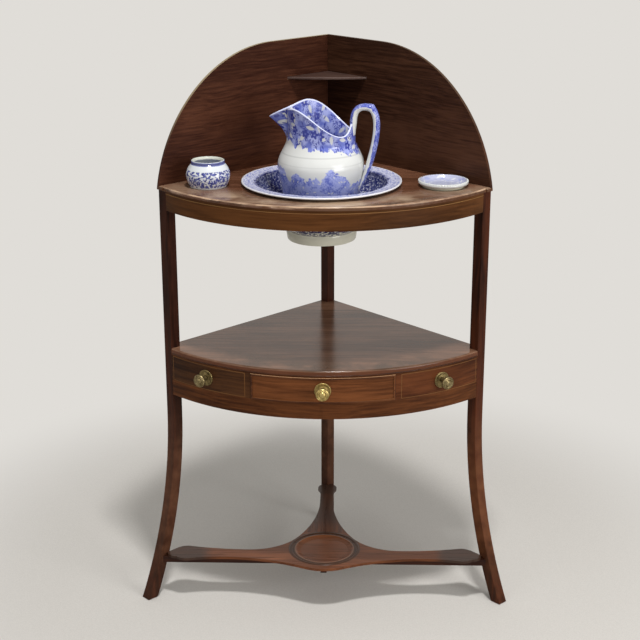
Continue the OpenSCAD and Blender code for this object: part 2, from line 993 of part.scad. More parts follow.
module jug_shell() {
    last = jug_levels + jug_neck_levels;
    rings = concat(
        [for (j = [0:last]) jug_ring(j, 0, jug_base_z)],
        [for (j = [last:-1:0]) jug_ring(j, jug_wall, jug_base_z + 5 + 0.01 * j)]
    );
    points = [for (ring = rings) for (p = ring) p];
    count = len(rings);
    walls = [for (j = [0:count - 2]) for (i = [0:jug_spin - 1]) let (
        n = (i + 1) % jug_spin,
        a = j * jug_spin + i,
        b = j * jug_spin + n,
        c = a + jug_spin,
        d = b + jug_spin
    ) each [[a, d, b], [a, c, d]]];
    under = [for (i = [1:jug_spin - 2]) [0, i, i + 1]];
    top0 = (count - 1) * jug_spin;
    floor_faces = [for (i = [1:jug_spin - 2]) [top0, top0 + i + 1, top0 + i]];
    polyhedron(points = points, faces = concat(walls, under, floor_faces), convexity = 8);
}

function bezier(p, t) =
    pow(1 - t, 3) * p[0] + 3 * pow(1 - t, 2) * t * p[1] + 3 * (1 - t) * t * t * p[2] + pow(t, 3) * p[3];
function slope(p, t) =
    3 * pow(1 - t, 2) * (p[1] - p[0]) + 6 * (1 - t) * t * (p[2] - p[1]) + 3 * t * t * (p[3] - p[2]);

module jug_handle() {
    rise = [[63.5, 100], [62, 130], [60.6, 153.9], [87, 153.9]];
    fall = [[87, 153.9], [123.9, 153.9], [105.6, 61.8], [74.6, -5]];
    steps = 11;
    around = 16;
    wide = 9.5;
    thick = 6.5;
    end_thick = 3;
    swell = 1.2;
    stations = concat(
        [for (i = [0:steps]) [bezier(rise, i / steps), slope(rise, i / steps)]],
        [for (i = [1:steps]) [bezier(fall, i / steps), slope(fall, i / steps)]]
    );
    count = len(stations);
    points = [for (j = [0:count - 1]) for (k = [0:around - 1]) let (
        s = stations[j],
        d = s[1] / norm(s[1]),
        a = 360 * k / around,
        out = min(thick, end_thick + swell * min(j, count - 1 - j)) * cos(a)
    ) [-(s[0][0] - d[1] * out), wide * sin(a), s[0][1] + d[0] * out]];
    walls = [for (j = [0:count - 2]) for (k = [0:around - 1]) let (
        n = (k + 1) % around,
        a = j * around + k,
        b = j * around + n,
        c = a + around,
        d = b + around
    ) each [[a, d, b], [a, c, d]]];
    first_cap = [for (k = [1:around - 2]) [0, k, k + 1]];
    end0 = (count - 1) * around;
    last_cap = [for (k = [1:around - 2]) [end0, end0 + k + 1, end0 + k]];
    polyhedron(points = points, faces = concat(walls, first_cap, last_cap), convexity = 6);
}

module jug() {
    color("#d9ddea") placed() translate([jug_x, -jug_y, top_z]) rotate([0, 0, 180 - jug_turn]) {
        jug_shell();
        jug_handle();
    }
}

function pot_radius(t) =
    t < 0.5 ? mix(35.5, 42.5, sin(180 * t)) : mix(32.3, 42.5, pow(sin(180 * t), 1.1));

module brush_pot() {
    steps = 16;
    wall = 3.5;
    neck = 0.9;
    body_h = pot_h * neck;
    floor_z = 5;
    outer = [for (i = [0:steps]) [pot_radius(i / steps), seat_gap + body_h * i / steps]];
    inner = [for (i = [steps:-1:2]) [pot_radius(i / steps) - wall, seat_gap + body_h * i / steps]];
    color("#c9d0dd") placed() translate([pot_x, -pot_y, top_z]) {
        rotate_extrude() polygon(concat(
            [[0, seat_gap + 2], [32, seat_gap + 2], [33, seat_gap]],
            outer,
            [[33.3, pot_h - 1.5], [32.8, pot_h], [30, pot_h], [29.3, pot_h - 1.5]],
            inner,
            [[33, floor_z], [0, floor_z]]
        ));
    }
}

module soap_dish() {
    rim_r = 48.4;
    foot_r = 40.6;
    color("#dfe0e6") placed() translate([soap_x, -soap_y, top_z]) {
        rotate_extrude() polygon([
            [0, seat_gap + 1.5],
            [foot_r - 4, seat_gap + 1.5],
            [foot_r - 3, seat_gap],
            [foot_r, seat_gap],
            [foot_r + 1, 4],
            [rim_r - 2.5, soap_h - 8],
            [rim_r - 0.6, soap_h - 6.5],
            [rim_r, soap_h - 4.5],
            [rim_r - 0.6, soap_h - 2],
            [rim_r - 2, soap_h - 0.4],
            [rim_r - 3.6, soap_h],
            [rim_r - 5.2, soap_h - 1],
            [foot_r - 3, 5.2],
            [foot_r - 8, 4.6],
            [0, 4.6]
        ]);
    }
}

back_leg();
left_leg();
right_leg();
top_board();
top_frieze();
top_stringing();
top_rail_left();
top_rail_right();
glue_block_left();
glue_block_right();
splash_left();
splash_right();
corner_shelf();
middle_shelf();
upper_rail();
lower_rail();
sham_left();
sham_right();
sham_lines_left();
sham_lines_right();
case_side_left();
case_side_right();
runner_left();
runner_right();
guide_left();
guide_right();
kicker_left();
kicker_right();
stop_left();
stop_right();
rose_left();
rose_right();
knob_left();
knob_right();
nut_left();
nut_right();
stretcher_plate();
stretcher_dish();
stretcher_cross();
stretcher_spine();
drawer_front();
bead_top();
bead_bottom();
bead_left();
bead_right();
drawer_side_left();
drawer_side_right();
drawer_back();
drawer_bottom();
drawer_rose();
drawer_knob();
drawer_nut();
basin();
jug();
brush_pot();
soap_dish();
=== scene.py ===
"""Looks of the corner washstand and its blue and white wash set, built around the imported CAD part."""

import json
import logging
import math
from dataclasses import dataclass
from enum import Enum
from functools import cached_property
from typing import Iterable, Sequence

import bmesh
import bpy
from mathutils import Matrix, Vector

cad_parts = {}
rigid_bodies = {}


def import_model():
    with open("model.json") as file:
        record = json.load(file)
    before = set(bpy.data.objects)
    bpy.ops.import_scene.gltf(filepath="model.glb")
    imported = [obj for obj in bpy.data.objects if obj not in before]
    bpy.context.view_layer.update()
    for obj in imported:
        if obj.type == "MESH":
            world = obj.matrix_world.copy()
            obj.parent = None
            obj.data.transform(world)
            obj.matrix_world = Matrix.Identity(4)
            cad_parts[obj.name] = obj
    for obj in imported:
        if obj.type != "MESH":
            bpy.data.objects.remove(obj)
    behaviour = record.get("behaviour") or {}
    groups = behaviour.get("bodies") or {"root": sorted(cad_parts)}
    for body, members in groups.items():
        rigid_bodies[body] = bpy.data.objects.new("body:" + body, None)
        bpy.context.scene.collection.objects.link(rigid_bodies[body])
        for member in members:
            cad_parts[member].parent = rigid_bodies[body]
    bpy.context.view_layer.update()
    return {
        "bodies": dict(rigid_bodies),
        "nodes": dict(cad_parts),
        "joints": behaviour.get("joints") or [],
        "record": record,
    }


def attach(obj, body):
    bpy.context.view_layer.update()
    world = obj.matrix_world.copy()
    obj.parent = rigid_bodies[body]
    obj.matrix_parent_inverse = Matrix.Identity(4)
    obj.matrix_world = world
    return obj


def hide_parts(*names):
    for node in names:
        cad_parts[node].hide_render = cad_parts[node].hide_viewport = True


LOG = logging.getLogger("washstand")
MM = 0.001
HALF_DEPTH = 243.25
TOP_UP = 864.0
PHOTO_PIXELS = 640.0
MARK = "mark"
PORE_COLOUR = "140805"
PORE_DEPTH = 0.00003
# How far behind the turned dish's middle the back arm's own grain starts, in millimetres.
BACK_ARM = 72.0
# Radii round the turned dish, in metres: a band of painted shade on its moulding starts and ends in these
# bands, round a painted highlight on its lip.
DISH_SHADE_START = (0.0605, 0.0625)
DISH_SHADE_END = (0.0730, 0.0760)
DISH_HIGHLIGHT_RADIUS = 0.0608
# Zones of a bow-fronted board, in metres: a painted highlight along its arris, and behind it a zone that is
# partly wear and partly painted light; measured in from its arris, down from its top, out from its middle.
ARRIS_FRONT = (0.0036, 0.0018)
ARRIS_TOP = (0.0028, 0.0012)
RUBBED_AND_PAINTED_LIGHT_DEPTH = (0.092, 0.030)
RUBBED_AND_PAINTED_LIGHT_WIDTH = (0.15, 0.25)
Point2 = tuple[float, float]
Triple = tuple[float, float, float]
Socket = bpy.types.NodeSocket
Material = bpy.types.Material
Mesh = bpy.types.Mesh
Piece = bpy.types.Object


def linear(written: str) -> tuple[float, float, float, float]:
    """Turn a written colour into the light values a shader wants.

    Args:
        written: Six hexadecimal digits.

    Returns:
        Red, green, blue and one, in linear light.
    """
    values = [int(written[i : i + 2], 16) / 255 for i in (0, 2, 4)]
    red, green, blue = (v / 12.92 if v <= 0.04045 else ((v + 0.055) / 1.055) ** 2.4 for v in values)
    return (red, green, blue, 1.0)


def place(x: float, y: float, z: float) -> Vector:
    """Turn millimetres from the wall corner into metres in the shared frame."""
    return Vector((x * MM, (y + HALF_DEPTH) * MM, z * MM))


def stand_at(centre: Point2, up: float = TOP_UP) -> Matrix:
    """Stand an upright frame over a spot of the top board."""
    return Matrix.Translation(place(*centre, up))


def ease(t: float) -> float:
    """Blend smoothly from nought to one."""
    return t * t * (3 - 2 * t)


def mix(a: float, b: float, t: float) -> float:
    """Blend between two numbers."""
    return a + (b - a) * t


class Graph:
    """A shader node tree with short calls for the nodes that the finishes share."""

    def __init__(self, owner: Material | bpy.types.World) -> None:
        """Start an empty tree.

        Args:
            owner: The material or world that has the tree.
        """
        owner.use_nodes = True
        self.owner = owner
        self.tree = owner.node_tree
        self.tree.nodes.clear()
        self.output = self.add("OutputWorld" if isinstance(owner, bpy.types.World) else "OutputMaterial")

    @cached_property
    def coords(self) -> Socket:
        """Give the place on the object, in metres."""
        return self.add("TexCoord").outputs["Object"]

    def put(self, socket: Socket, value: object) -> None:
        """Link a socket, or set its own value.

        Args:
            socket: The input to fill.
            value: Another node's output, a written colour or a plain value.
        """
        if isinstance(value, Socket):
            self.tree.links.new(value, socket)
        else:
            socket.default_value = linear(value) if isinstance(value, str) else value

    def add(self, kind: str, *values: object, **settings: object) -> bpy.types.Node:
        """Add a node.

        Args:
            kind: Its type, without the part that all shader nodes share.
            values: What its first inputs get, in order.
            settings: Its own settings by name.

        Returns:
            The node.
        """
        node = self.tree.nodes.new(f"ShaderNode{kind}")
        for key, value in settings.items():
            setattr(node, key, value)
        for socket, value in zip(node.inputs, values):
            self.put(socket, value)
        return node

    def math(self, operation: str, *values: object) -> Socket:
        """Add one step of arithmetic."""
        return self.add("Math", *values, operation=operation).outputs[0]

    def plus(self, a: object, b: object) -> Socket:
        """Add two numbers."""
        return self.math("ADD", a, b)

    def minus(self, a: object, b: object) -> Socket:
        """Take a number from another."""
        return self.math("SUBTRACT", a, b)

    def times(self, *values: object) -> Socket:
        """Multiply numbers, in order.

        Args:
            values: The numbers.

        Returns:
            Their product.
        """
        result = values[0]
        for value in values[1:]:
            result = self.math("MULTIPLY", result, value)
        return result

    def off(self, value: object, level: float) -> Socket:
        """Say how far a number is from a level, on either side."""
        return self.math("ABSOLUTE", self.minus(value, level))

    def distance(self, x: object, y: object) -> Socket:
        """Give the length of two sides at a right angle, taken together."""
        return self.math("SQRT", self.plus(self.times(x, x), self.times(y, y)))

    def vector(self, operation: str, *values: object) -> Socket:
        """Add one step of vector arithmetic."""
        return self.add("VectorMath", *values, operation=operation).outputs[0]

    def split(self, vector: object) -> tuple[Socket, ...]:
        """Take a vector apart into its three numbers."""
        return tuple(self.add("SeparateXYZ", vector).outputs)

    def join(self, x: object, y: object, z: object = 0.0) -> Socket:
        """Make a vector of three numbers."""
        return self.add("CombineXYZ", x, y, z).outputs[0]

    def noise(self, vector: object, scale: float, detail: float = 3.0, rough: float = 0.5) -> Socket:
        """Add a cloud of noise.

        Args:
            vector: Where it is read.
            scale: How fine it is.
            detail: How many layers it has.
            rough: How strong the fine layers are.

        Returns:
            A number from nought to one.
        """
        node = self.add("TexNoise", vector)
        for key, value in (("Scale", scale), ("Detail", detail), ("Roughness", rough)):
            node.inputs[key].default_value = value
        return node.outputs["Fac"]

    def shake(
        self, vector: object, scale: float, amount: float, detail: float = 2.0, rough: float = 0.5
    ) -> Socket:
        """Add noise that swings round nought by half the amount either way."""
        return self.times(self.minus(self.noise(vector, scale, detail, rough), 0.5), amount)

    def band(self, value: object, low: float, high: float, start: float = 0.0, end: float = 1.0) -> Socket:
        """Stretch the range from low to high smoothly onto the one from start to end, held at its ends."""
        return self.add("MapRange", value, low, high, start, end, interpolation_type="SMOOTHSTEP").outputs[0]

    def tint(self, colour: object, other: object, *shares: object) -> Socket:
        """Move a colour towards another.

        Args:
            colour: The colour so far.
            other: The colour it moves to.
            shares: Numbers from nought to one, whose product says how far.

        Returns:
            The new colour.
        """
        node = self.add("Mix", self.times(*shares), data_type="RGBA")
        first, second = [socket for socket in node.inputs if socket.type == "RGBA"]
        self.put(first, colour)
        self.put(second, other)
        return next(socket for socket in node.outputs if socket.type == "RGBA")

    def bump(self, height: object, distance: float, strength: float) -> Socket:
        """Turn a height into a bent normal.

        Args:
            height: The height, from nought to one.
            distance: What one is worth, in metres.
            strength: How much of it shows.

        Returns:
            The normal.
        """
        node = self.add("Bump")
        for key, value in (("Distance", distance), ("Strength", strength), ("Height", height)):
            self.put(node.inputs[key], value)
        return node.outputs[0]

    def choose(self, share: Socket, first: Socket, second: Socket) -> None:
        """Mix two shaders by a share and close the tree with them."""
        mixed = self.add("MixShader", share, first, second)
        self.put(self.output.inputs[0], mixed.outputs[0])

    def surface(self, **inputs: object) -> Material:
        """Close the tree with the main shader.

        Args:
            inputs: Its sockets by name, with low lines for spaces.

        Returns:
            The material.
        """
        node = self.add("BsdfPrincipled")
        for key, value in inputs.items():
            self.put(node.inputs[key.replace("_", " ")], value)
        self.put(self.output.inputs[0], node.outputs[0])
        return self.owner


class Grain(Enum):
    """Which way the grain of a wooden piece runs, as the turn that lays it along X."""

    ACROSS = (0.0, 0.0, 0.0)
    BACK = (0.0, 0.0, math.pi / 2)
    UP = (0.0, math.pi / 2, 0.0)
    WALL_LEFT = (0.0, 0.0, -math.pi / 4)
    WALL_RIGHT = (0.0, 0.0, math.pi / 4)
    BOW = None


@dataclass(frozen=True)
class Bow:
    """The curve of a bow front, in millimetres."""

    radius: float
    centre: float


TOP_BOW = Bow(384.7, -100.3)
CASE_BOW = Bow(441.3, -16.0)


@dataclass(frozen=True)
class WoodFinish:
    """A polished or plain wood. Its colours are written ones, and an empty one leaves its effect out.

    Attributes:
        name: Name of the material.
        dark: Its dark streaks.
        light: Its light streaks.
        grain: Which way it runs.
        streak: How fine the streaks are.
        figure: How fine the broad figure is.
        rough: How dull the polish is.
        specular: How strongly it mirrors.
        coat: How strong its clear coat is.
        wear: Colour of worn patches.
        offset: A shift that gives the piece a grain of its own.
        bow: The bow front that it is measured from.
        edge: Colour of the painted highlight along the arris.
        edge_out: How far the arris lies from the bow's middle.
        edge_top: How high the arris lies.
        upward: Colour painted on faces that look up: a painted highlight, and painted shade on the right
            splash panel.
        mottle: How strong its dark clouds are.
        rubbed_and_painted_light: Colour of the zone behind the arris, partly wear and partly painted light:
            painted sheen on the top board, painted shade on the middle shelf.
        side: Colour of faces that don't look up: painted shade.
        ring: How far the turned dish lies from the wall corner; it also brings the painted light round the
            dish.
        low: Colour of the painted light on the lower part, which fades out near the floor.
    """

    name: str
    dark: str
    light: str
    grain: Grain
    streak: float = 130.0
    figure: float = 16.0
    rough: float = 0.36
    specular: float = 0.16
    coat: float = 0.0
    wear: str = ""
    offset: float = 0.0
    bow: Bow = CASE_BOW
    edge: str = ""
    edge_out: float = 0.0
    edge_top: float = 0.0
    upward: str = ""
    mottle: float = 0.35
    rubbed_and_painted_light: str = ""
    side: str = ""
    ring: float = 0.0
    low: str = ""

    def around(self, graph: Graph) -> tuple[Socket, Socket, Socket]:
        """Measure a place round the bow.

        Args:
            graph: The tree that gets the nodes.

        Returns:
            The length along the bow, the distance from its middle, and the height, in metres.
        """
        x, y, z = graph.split(graph.coords)
        ahead = graph.minus((self.bow.centre + HALF_DEPTH) * MM, y)
        length = graph.times(graph.math("ARCTAN2", x, ahead), self.bow.radius * MM)
        return length, graph.distance(x, ahead), z

    def along(self, graph: Graph) -> Socket:
        """Turn the piece so that its grain runs along X.

        Args:
            graph: The tree that gets the nodes.

        Returns:
            The turned place in metres.
        """
        shift = (self.offset, self.offset * 0.7, self.offset * 0.4)
        if self.grain is Grain.BOW:
            return graph.vector("ADD", graph.join(*self.around(graph)), shift)
        turned_in = graph.add("Mapping", graph.coords, shift, self.grain.value).outputs[0]
        if not self.ring:
            return turned_in
        x, y, z = graph.split(graph.coords)
        back_arm = graph.math("GREATER_THAN", y, (HALF_DEPTH - self.ring + BACK_ARM) * MM)
        return graph.tint(turned_in, graph.join(y, x, z), back_arm)

    def ringed(self, graph: Graph, colour: Socket) -> Socket:
        """Paint shade round the turned dish, a highlight on its lip, and dark reflections on the back arm and
        arm tips.

        Args:
            graph: The tree that gets the nodes.
            colour: The wood's colour so far.

        Returns:
            The colour with its painted shade, highlight and dark reflections.
        """
        dish = tuple(place(0.0, -self.ring, 0.0))
        x, y, _ = graph.split(graph.vector("SUBTRACT", graph.coords, dish))
        out = graph.distance(x, y)
        shaken = graph.plus(out, graph.shake(graph.coords, 30.0, 0.05))
        # Painted dark reflection on the back arm and the tips of the side arms.
        back = graph.band(y, 0.07, 0.15, 0.0, 0.7)
        tips = graph.band(shaken, 0.225, 0.262, 0.0, 0.85)
        colour = graph.tint(colour, "372b25", graph.math("MAXIMUM", back, tips))
        # Painted shade on the moulding round the dish.
        painted_ring_shade = graph.band(out, *DISH_SHADE_START), graph.band(out, *DISH_SHADE_END, 0.8, 0.0)
        colour = graph.tint(colour, "38281f", *painted_ring_shade)
        # Painted highlight on the dish's lip.
        lip = graph.band(graph.off(out, DISH_HIGHLIGHT_RADIUS), 0.0006, 0.0015, 0.7, 0.0)
        return graph.tint(colour, "8d6c58", lip)

    def aged_and_painted_light(self, graph: Graph, grain: Socket, colour: Socket) -> Socket:
        """Lay worn patches over the wood, and paint light and shade on it by place and by the way each face
        looks.

        Args:
            graph: The tree that gets the nodes.
            grain: The place, turned along the grain.
            colour: The wood's colour so far.

        Returns:
            The colour of the wood with its wear and its painted light and shade.
        """
        _, out, height = self.around(graph)
        across = graph.math("ABSOLUTE", graph.split(graph.coords)[0])
        rise = graph.split(graph.add("NewGeometry").outputs["Normal"])[2]
        arris, top = self.edge_out * MM, self.edge_top * MM
        if self.wear:
            worn = graph.band(graph.noise(grain, 9.0, 5.0, 0.7), 0.56, 0.78, 0.0, 0.6)
            colour = graph.tint(colour, self.wear, worn)
        # Zone behind the arris: partly wear, partly painted light (painted sheen on the top board, painted
        # shade on the middle shelf).
        if self.rubbed_and_painted_light:
            patchy = graph.band(graph.noise(grain, 16.0, 4.0, 0.6), 0.36, 0.62, 0.2, 0.9)
            ahead = graph.band(out, *(arris - depth for depth in RUBBED_AND_PAINTED_LIGHT_DEPTH))
            aside = graph.band(across, *RUBBED_AND_PAINTED_LIGHT_WIDTH, 1.0, 0.45)
            colour = graph.tint(colour, self.rubbed_and_painted_light, patchy, ahead, aside)
        # Painted shade on the faces that don't look up.
        if self.side:
            colour = graph.tint(colour, self.side, graph.band(rise, 0.25, 0.75, 0.85, 0.0))
        # Painted shade, highlight and dark reflections round the turned dish.
        if self.ring:
            colour = self.ringed(graph, colour)
        # Painted light on the lower part, fading out near the floor.
        if self.low:
            faded = graph.band(graph.noise(grain, 40.0), 0.3, 0.7, 0.3, 0.9)
            reach = graph.band(height, 0.26, 0.46, 1.0, 0.0), graph.band(height, 0.03, 0.14, 0.25, 1.0)
            colour = graph.tint(colour, self.low, faded, *reach)
        # Painted highlight along the arris, broken up by noise.
        if self.edge:
            rubbed_and_painted_light = graph.band(graph.noise(grain, 28.0), 0.38, 0.6, 0.25, 1.0)
            outer = graph.band(out, *(arris - width for width in ARRIS_FRONT))
            upper = graph.band(height, *(top - width for width in ARRIS_TOP))
            colour = graph.tint(colour, self.edge, rubbed_and_painted_light, outer, upper)
        # Painted highlight on the faces that look up; painted shade on the right splash panel.
        if self.upward:
            colour = graph.tint(colour, self.upward, graph.band(rise, 0.35, 0.8))
        return colour

    def make(self) -> Material:
        """Build the material.

        Returns:
            The finished wood.
        """
        graph = Graph(bpy.data.materials.new(self.name))
        grain = self.along(graph)
        warp = graph.noise(grain, 5.0, 2.0)
        bent = graph.vector("ADD", grain, graph.join(0.0, graph.times(warp, 0.03), graph.times(warp, 0.02)))
        layers = (
            (0.04, self.streak, 4.0, 0.62),
            (0.16, self.figure, 3.0, 0.55),
            (0.05, self.streak * 7, 2.0, 0.6),
        )
        streaks, figure, pores = [
            graph.noise(graph.vector("MULTIPLY", bent, (stretch, 1.0, 1.0)), scale, detail, rough)
            for stretch, scale, detail, rough in layers
        ]
        tone = graph.math("MULTIPLY_ADD", streaks, 0.5, graph.times(figure, 0.6))
        colour = graph.tint(self.dark, self.light, graph.band(tone, 0.40, 0.72))
        cloud = graph.noise(grain, 7.0, 3.0, 0.6)
        colour = graph.tint(colour, self.dark, graph.band(cloud, 0.46, 0.66, 0.0, self.mottle))
        pore = graph.band(pores, 0.62, 0.74)
        colour = graph.tint(colour, PORE_COLOUR, pore, 0.25)
        return graph.surface(
            Base_Color=self.aged_and_painted_light(graph, grain, colour),
            Roughness=graph.band(streaks, 0.3, 0.7, self.rough * 0.85, self.rough * 1.2),
            Normal=graph.bump(pore, -PORE_DEPTH, 0.35),
            Specular_IOR_Level=self.specular,
            Coat_Weight=self.coat,
            Coat_Roughness=0.14,
        )


@dataclass(frozen=True)
class BrassFinish:
    """Old brass, bright and brown in scattered patches."""

    name: str
    bright: str
    dull: str
    rough: float

    def make(self) -> Material:
        """Build the material.

        Returns:
            The finished metal.
        """
        graph = Graph(bpy.data.materials.new(self.name))
        patches = graph.noise(graph.coords, 210.0, 5.0, 0.65)
        fine = graph.noise(graph.coords, 900.0, 3.0, 0.6)
        share = graph.band(graph.math("MULTIPLY_ADD", fine, 0.55, graph.times(patches, 0.5)), 0.32, 0.7)
        return graph.surface(
            Base_Color=graph.tint(self.dull, self.bright, share),
            Metallic=1.0,
            Roughness=graph.band(patches, 0.3, 0.7, self.rough * 1.5, self.rough),
            Normal=graph.bump(fine, 0.00001, 0.3),
        )


@dataclass(frozen=True)
class IronFinish:
    """Dark iron with a little variation."""

    name: str
    base: str
    shade: str
    rough: float
    metallic: float

    def make(self) -> Material:
        """Build the material.

        Returns:
            The finished iron.
        """
        graph = Graph(bpy.data.materials.new(self.name))
        patches = graph.noise(graph.coords, 160.0, 4.0, 0.6)
        return graph.surface(
            Base_Color=graph.tint(self.shade, self.base, graph.band(patches, 0.35, 0.7)),
            Metallic=self.metallic,
            Roughness=self.rough,
            Normal=graph.bump(patches, 0.00008, 0.5),
        )


@dataclass(frozen=True)
class Sheet:
    """A surface laid out flat, with the marks of a print scattered over its cells."""

    graph: Graph
    flat: Socket
    cell: float

    def scattered(self, finer: float, shift: Point2) -> tuple[Socket, ...]:
        """Find the nearest of some scattered points.

        Args:
            finer: How many of them go to one cell's width.
            shift: Moves the whole field.

        Returns:
            The way to the point in two numbers, the distance, and two numbers of the point's own.
        """
        graph = self.graph
        scale = finer / (self.cell * MM)
        flat = graph.vector("ADD", self.flat, (*shift, 0.0))
        cells = graph.add("TexVoronoi", flat, voronoi_dimensions="2D")
        cells.inputs["Scale"].default_value = scale
        way = graph.vector("SUBTRACT", flat, cells.outputs["Position"])
        gap = graph.vector("MULTIPLY", way, (scale, scale, 0.0))
        return *graph.split(gap)[:2], cells.outputs["Distance"], *graph.split(cells.outputs["Color"])[:2]

    def cloud(self, finer: float, detail: float, rough: float = 0.5, shift: Point2 = (0.0, 0.0)) -> Socket:
        """Add noise measured in cells."""
        flat = self.graph.vector("ADD", self.flat, (*shift, 0.0))
        return self.graph.noise(flat, finer / (self.cell * MM), detail, rough)

    def blossoms(self, finer: float, size: float, keep: float, shift: Point2 = (0.0, 0.0)) -> Socket:
        """Scatter five-petalled blossoms.

        Args:
            finer: How many go to one cell's width.
            size: Radius of a blossom, in its own cells.
            keep: The share of the cells that stay empty.
            shift: Moves the whole field.

        Returns:
            One on a petal, and nought off it.
        """
        graph = self.graph
        x, y, distance, _, chance = self.scattered(finer, shift)
        petals = graph.math("COSINE", graph.times(graph.math("ARCTAN2", y, x), 5.0))
        edge = graph.math("MULTIPLY_ADD", petals, size * 0.22, size)
        inside = graph.band(graph.minus(edge, distance), 0.0, 0.06)
        eye = graph.band(distance, size * 0.2, size * 0.34, 0.4, 1.0)
        return graph.times(inside, eye, graph.math("GREATER_THAN", chance, keep))

    def leaves(self, finer: float, size: float, keep: float, shift: Point2 = (0.0, 0.0)) -> Socket:
        """Scatter pointed leaves, each turned its own way.

        Args:
            finer: How many go to one cell's width.
            size: Half the length of a leaf, in its own cells.
            keep: The share of the cells that stay empty.
            shift: Moves the whole field.

        Returns:
            One on a leaf, and nought off it.
        """
        graph = self.graph
        x, y, _, chance, other_chance = self.scattered(finer, shift)
        turn = graph.times(chance, 2 * math.pi)
        cosine, sine = graph.math("COSINE", turn), graph.math("SINE", turn)
        along = graph.plus(graph.times(x, cosine), graph.times(y, sine))
        aside = graph.minus(graph.times(y, cosine), graph.times(x, sine))
        width = graph.math("MULTIPLY_ADD", graph.times(along, along), -0.42 / size, size * 0.42)
        inside = graph.band(graph.minus(width, graph.math("ABSOLUTE", aside)), 0.0, 0.07)
        return graph.times(inside, graph.math("GREATER_THAN", other_chance, keep))


class Print(Enum):
    """Where the blue print of a glazed piece is laid."""

    BASIN = "basin"
    JUG = "jug"
    HANDLE = "handle"
    POT = "pot"
    DISH = "dish"


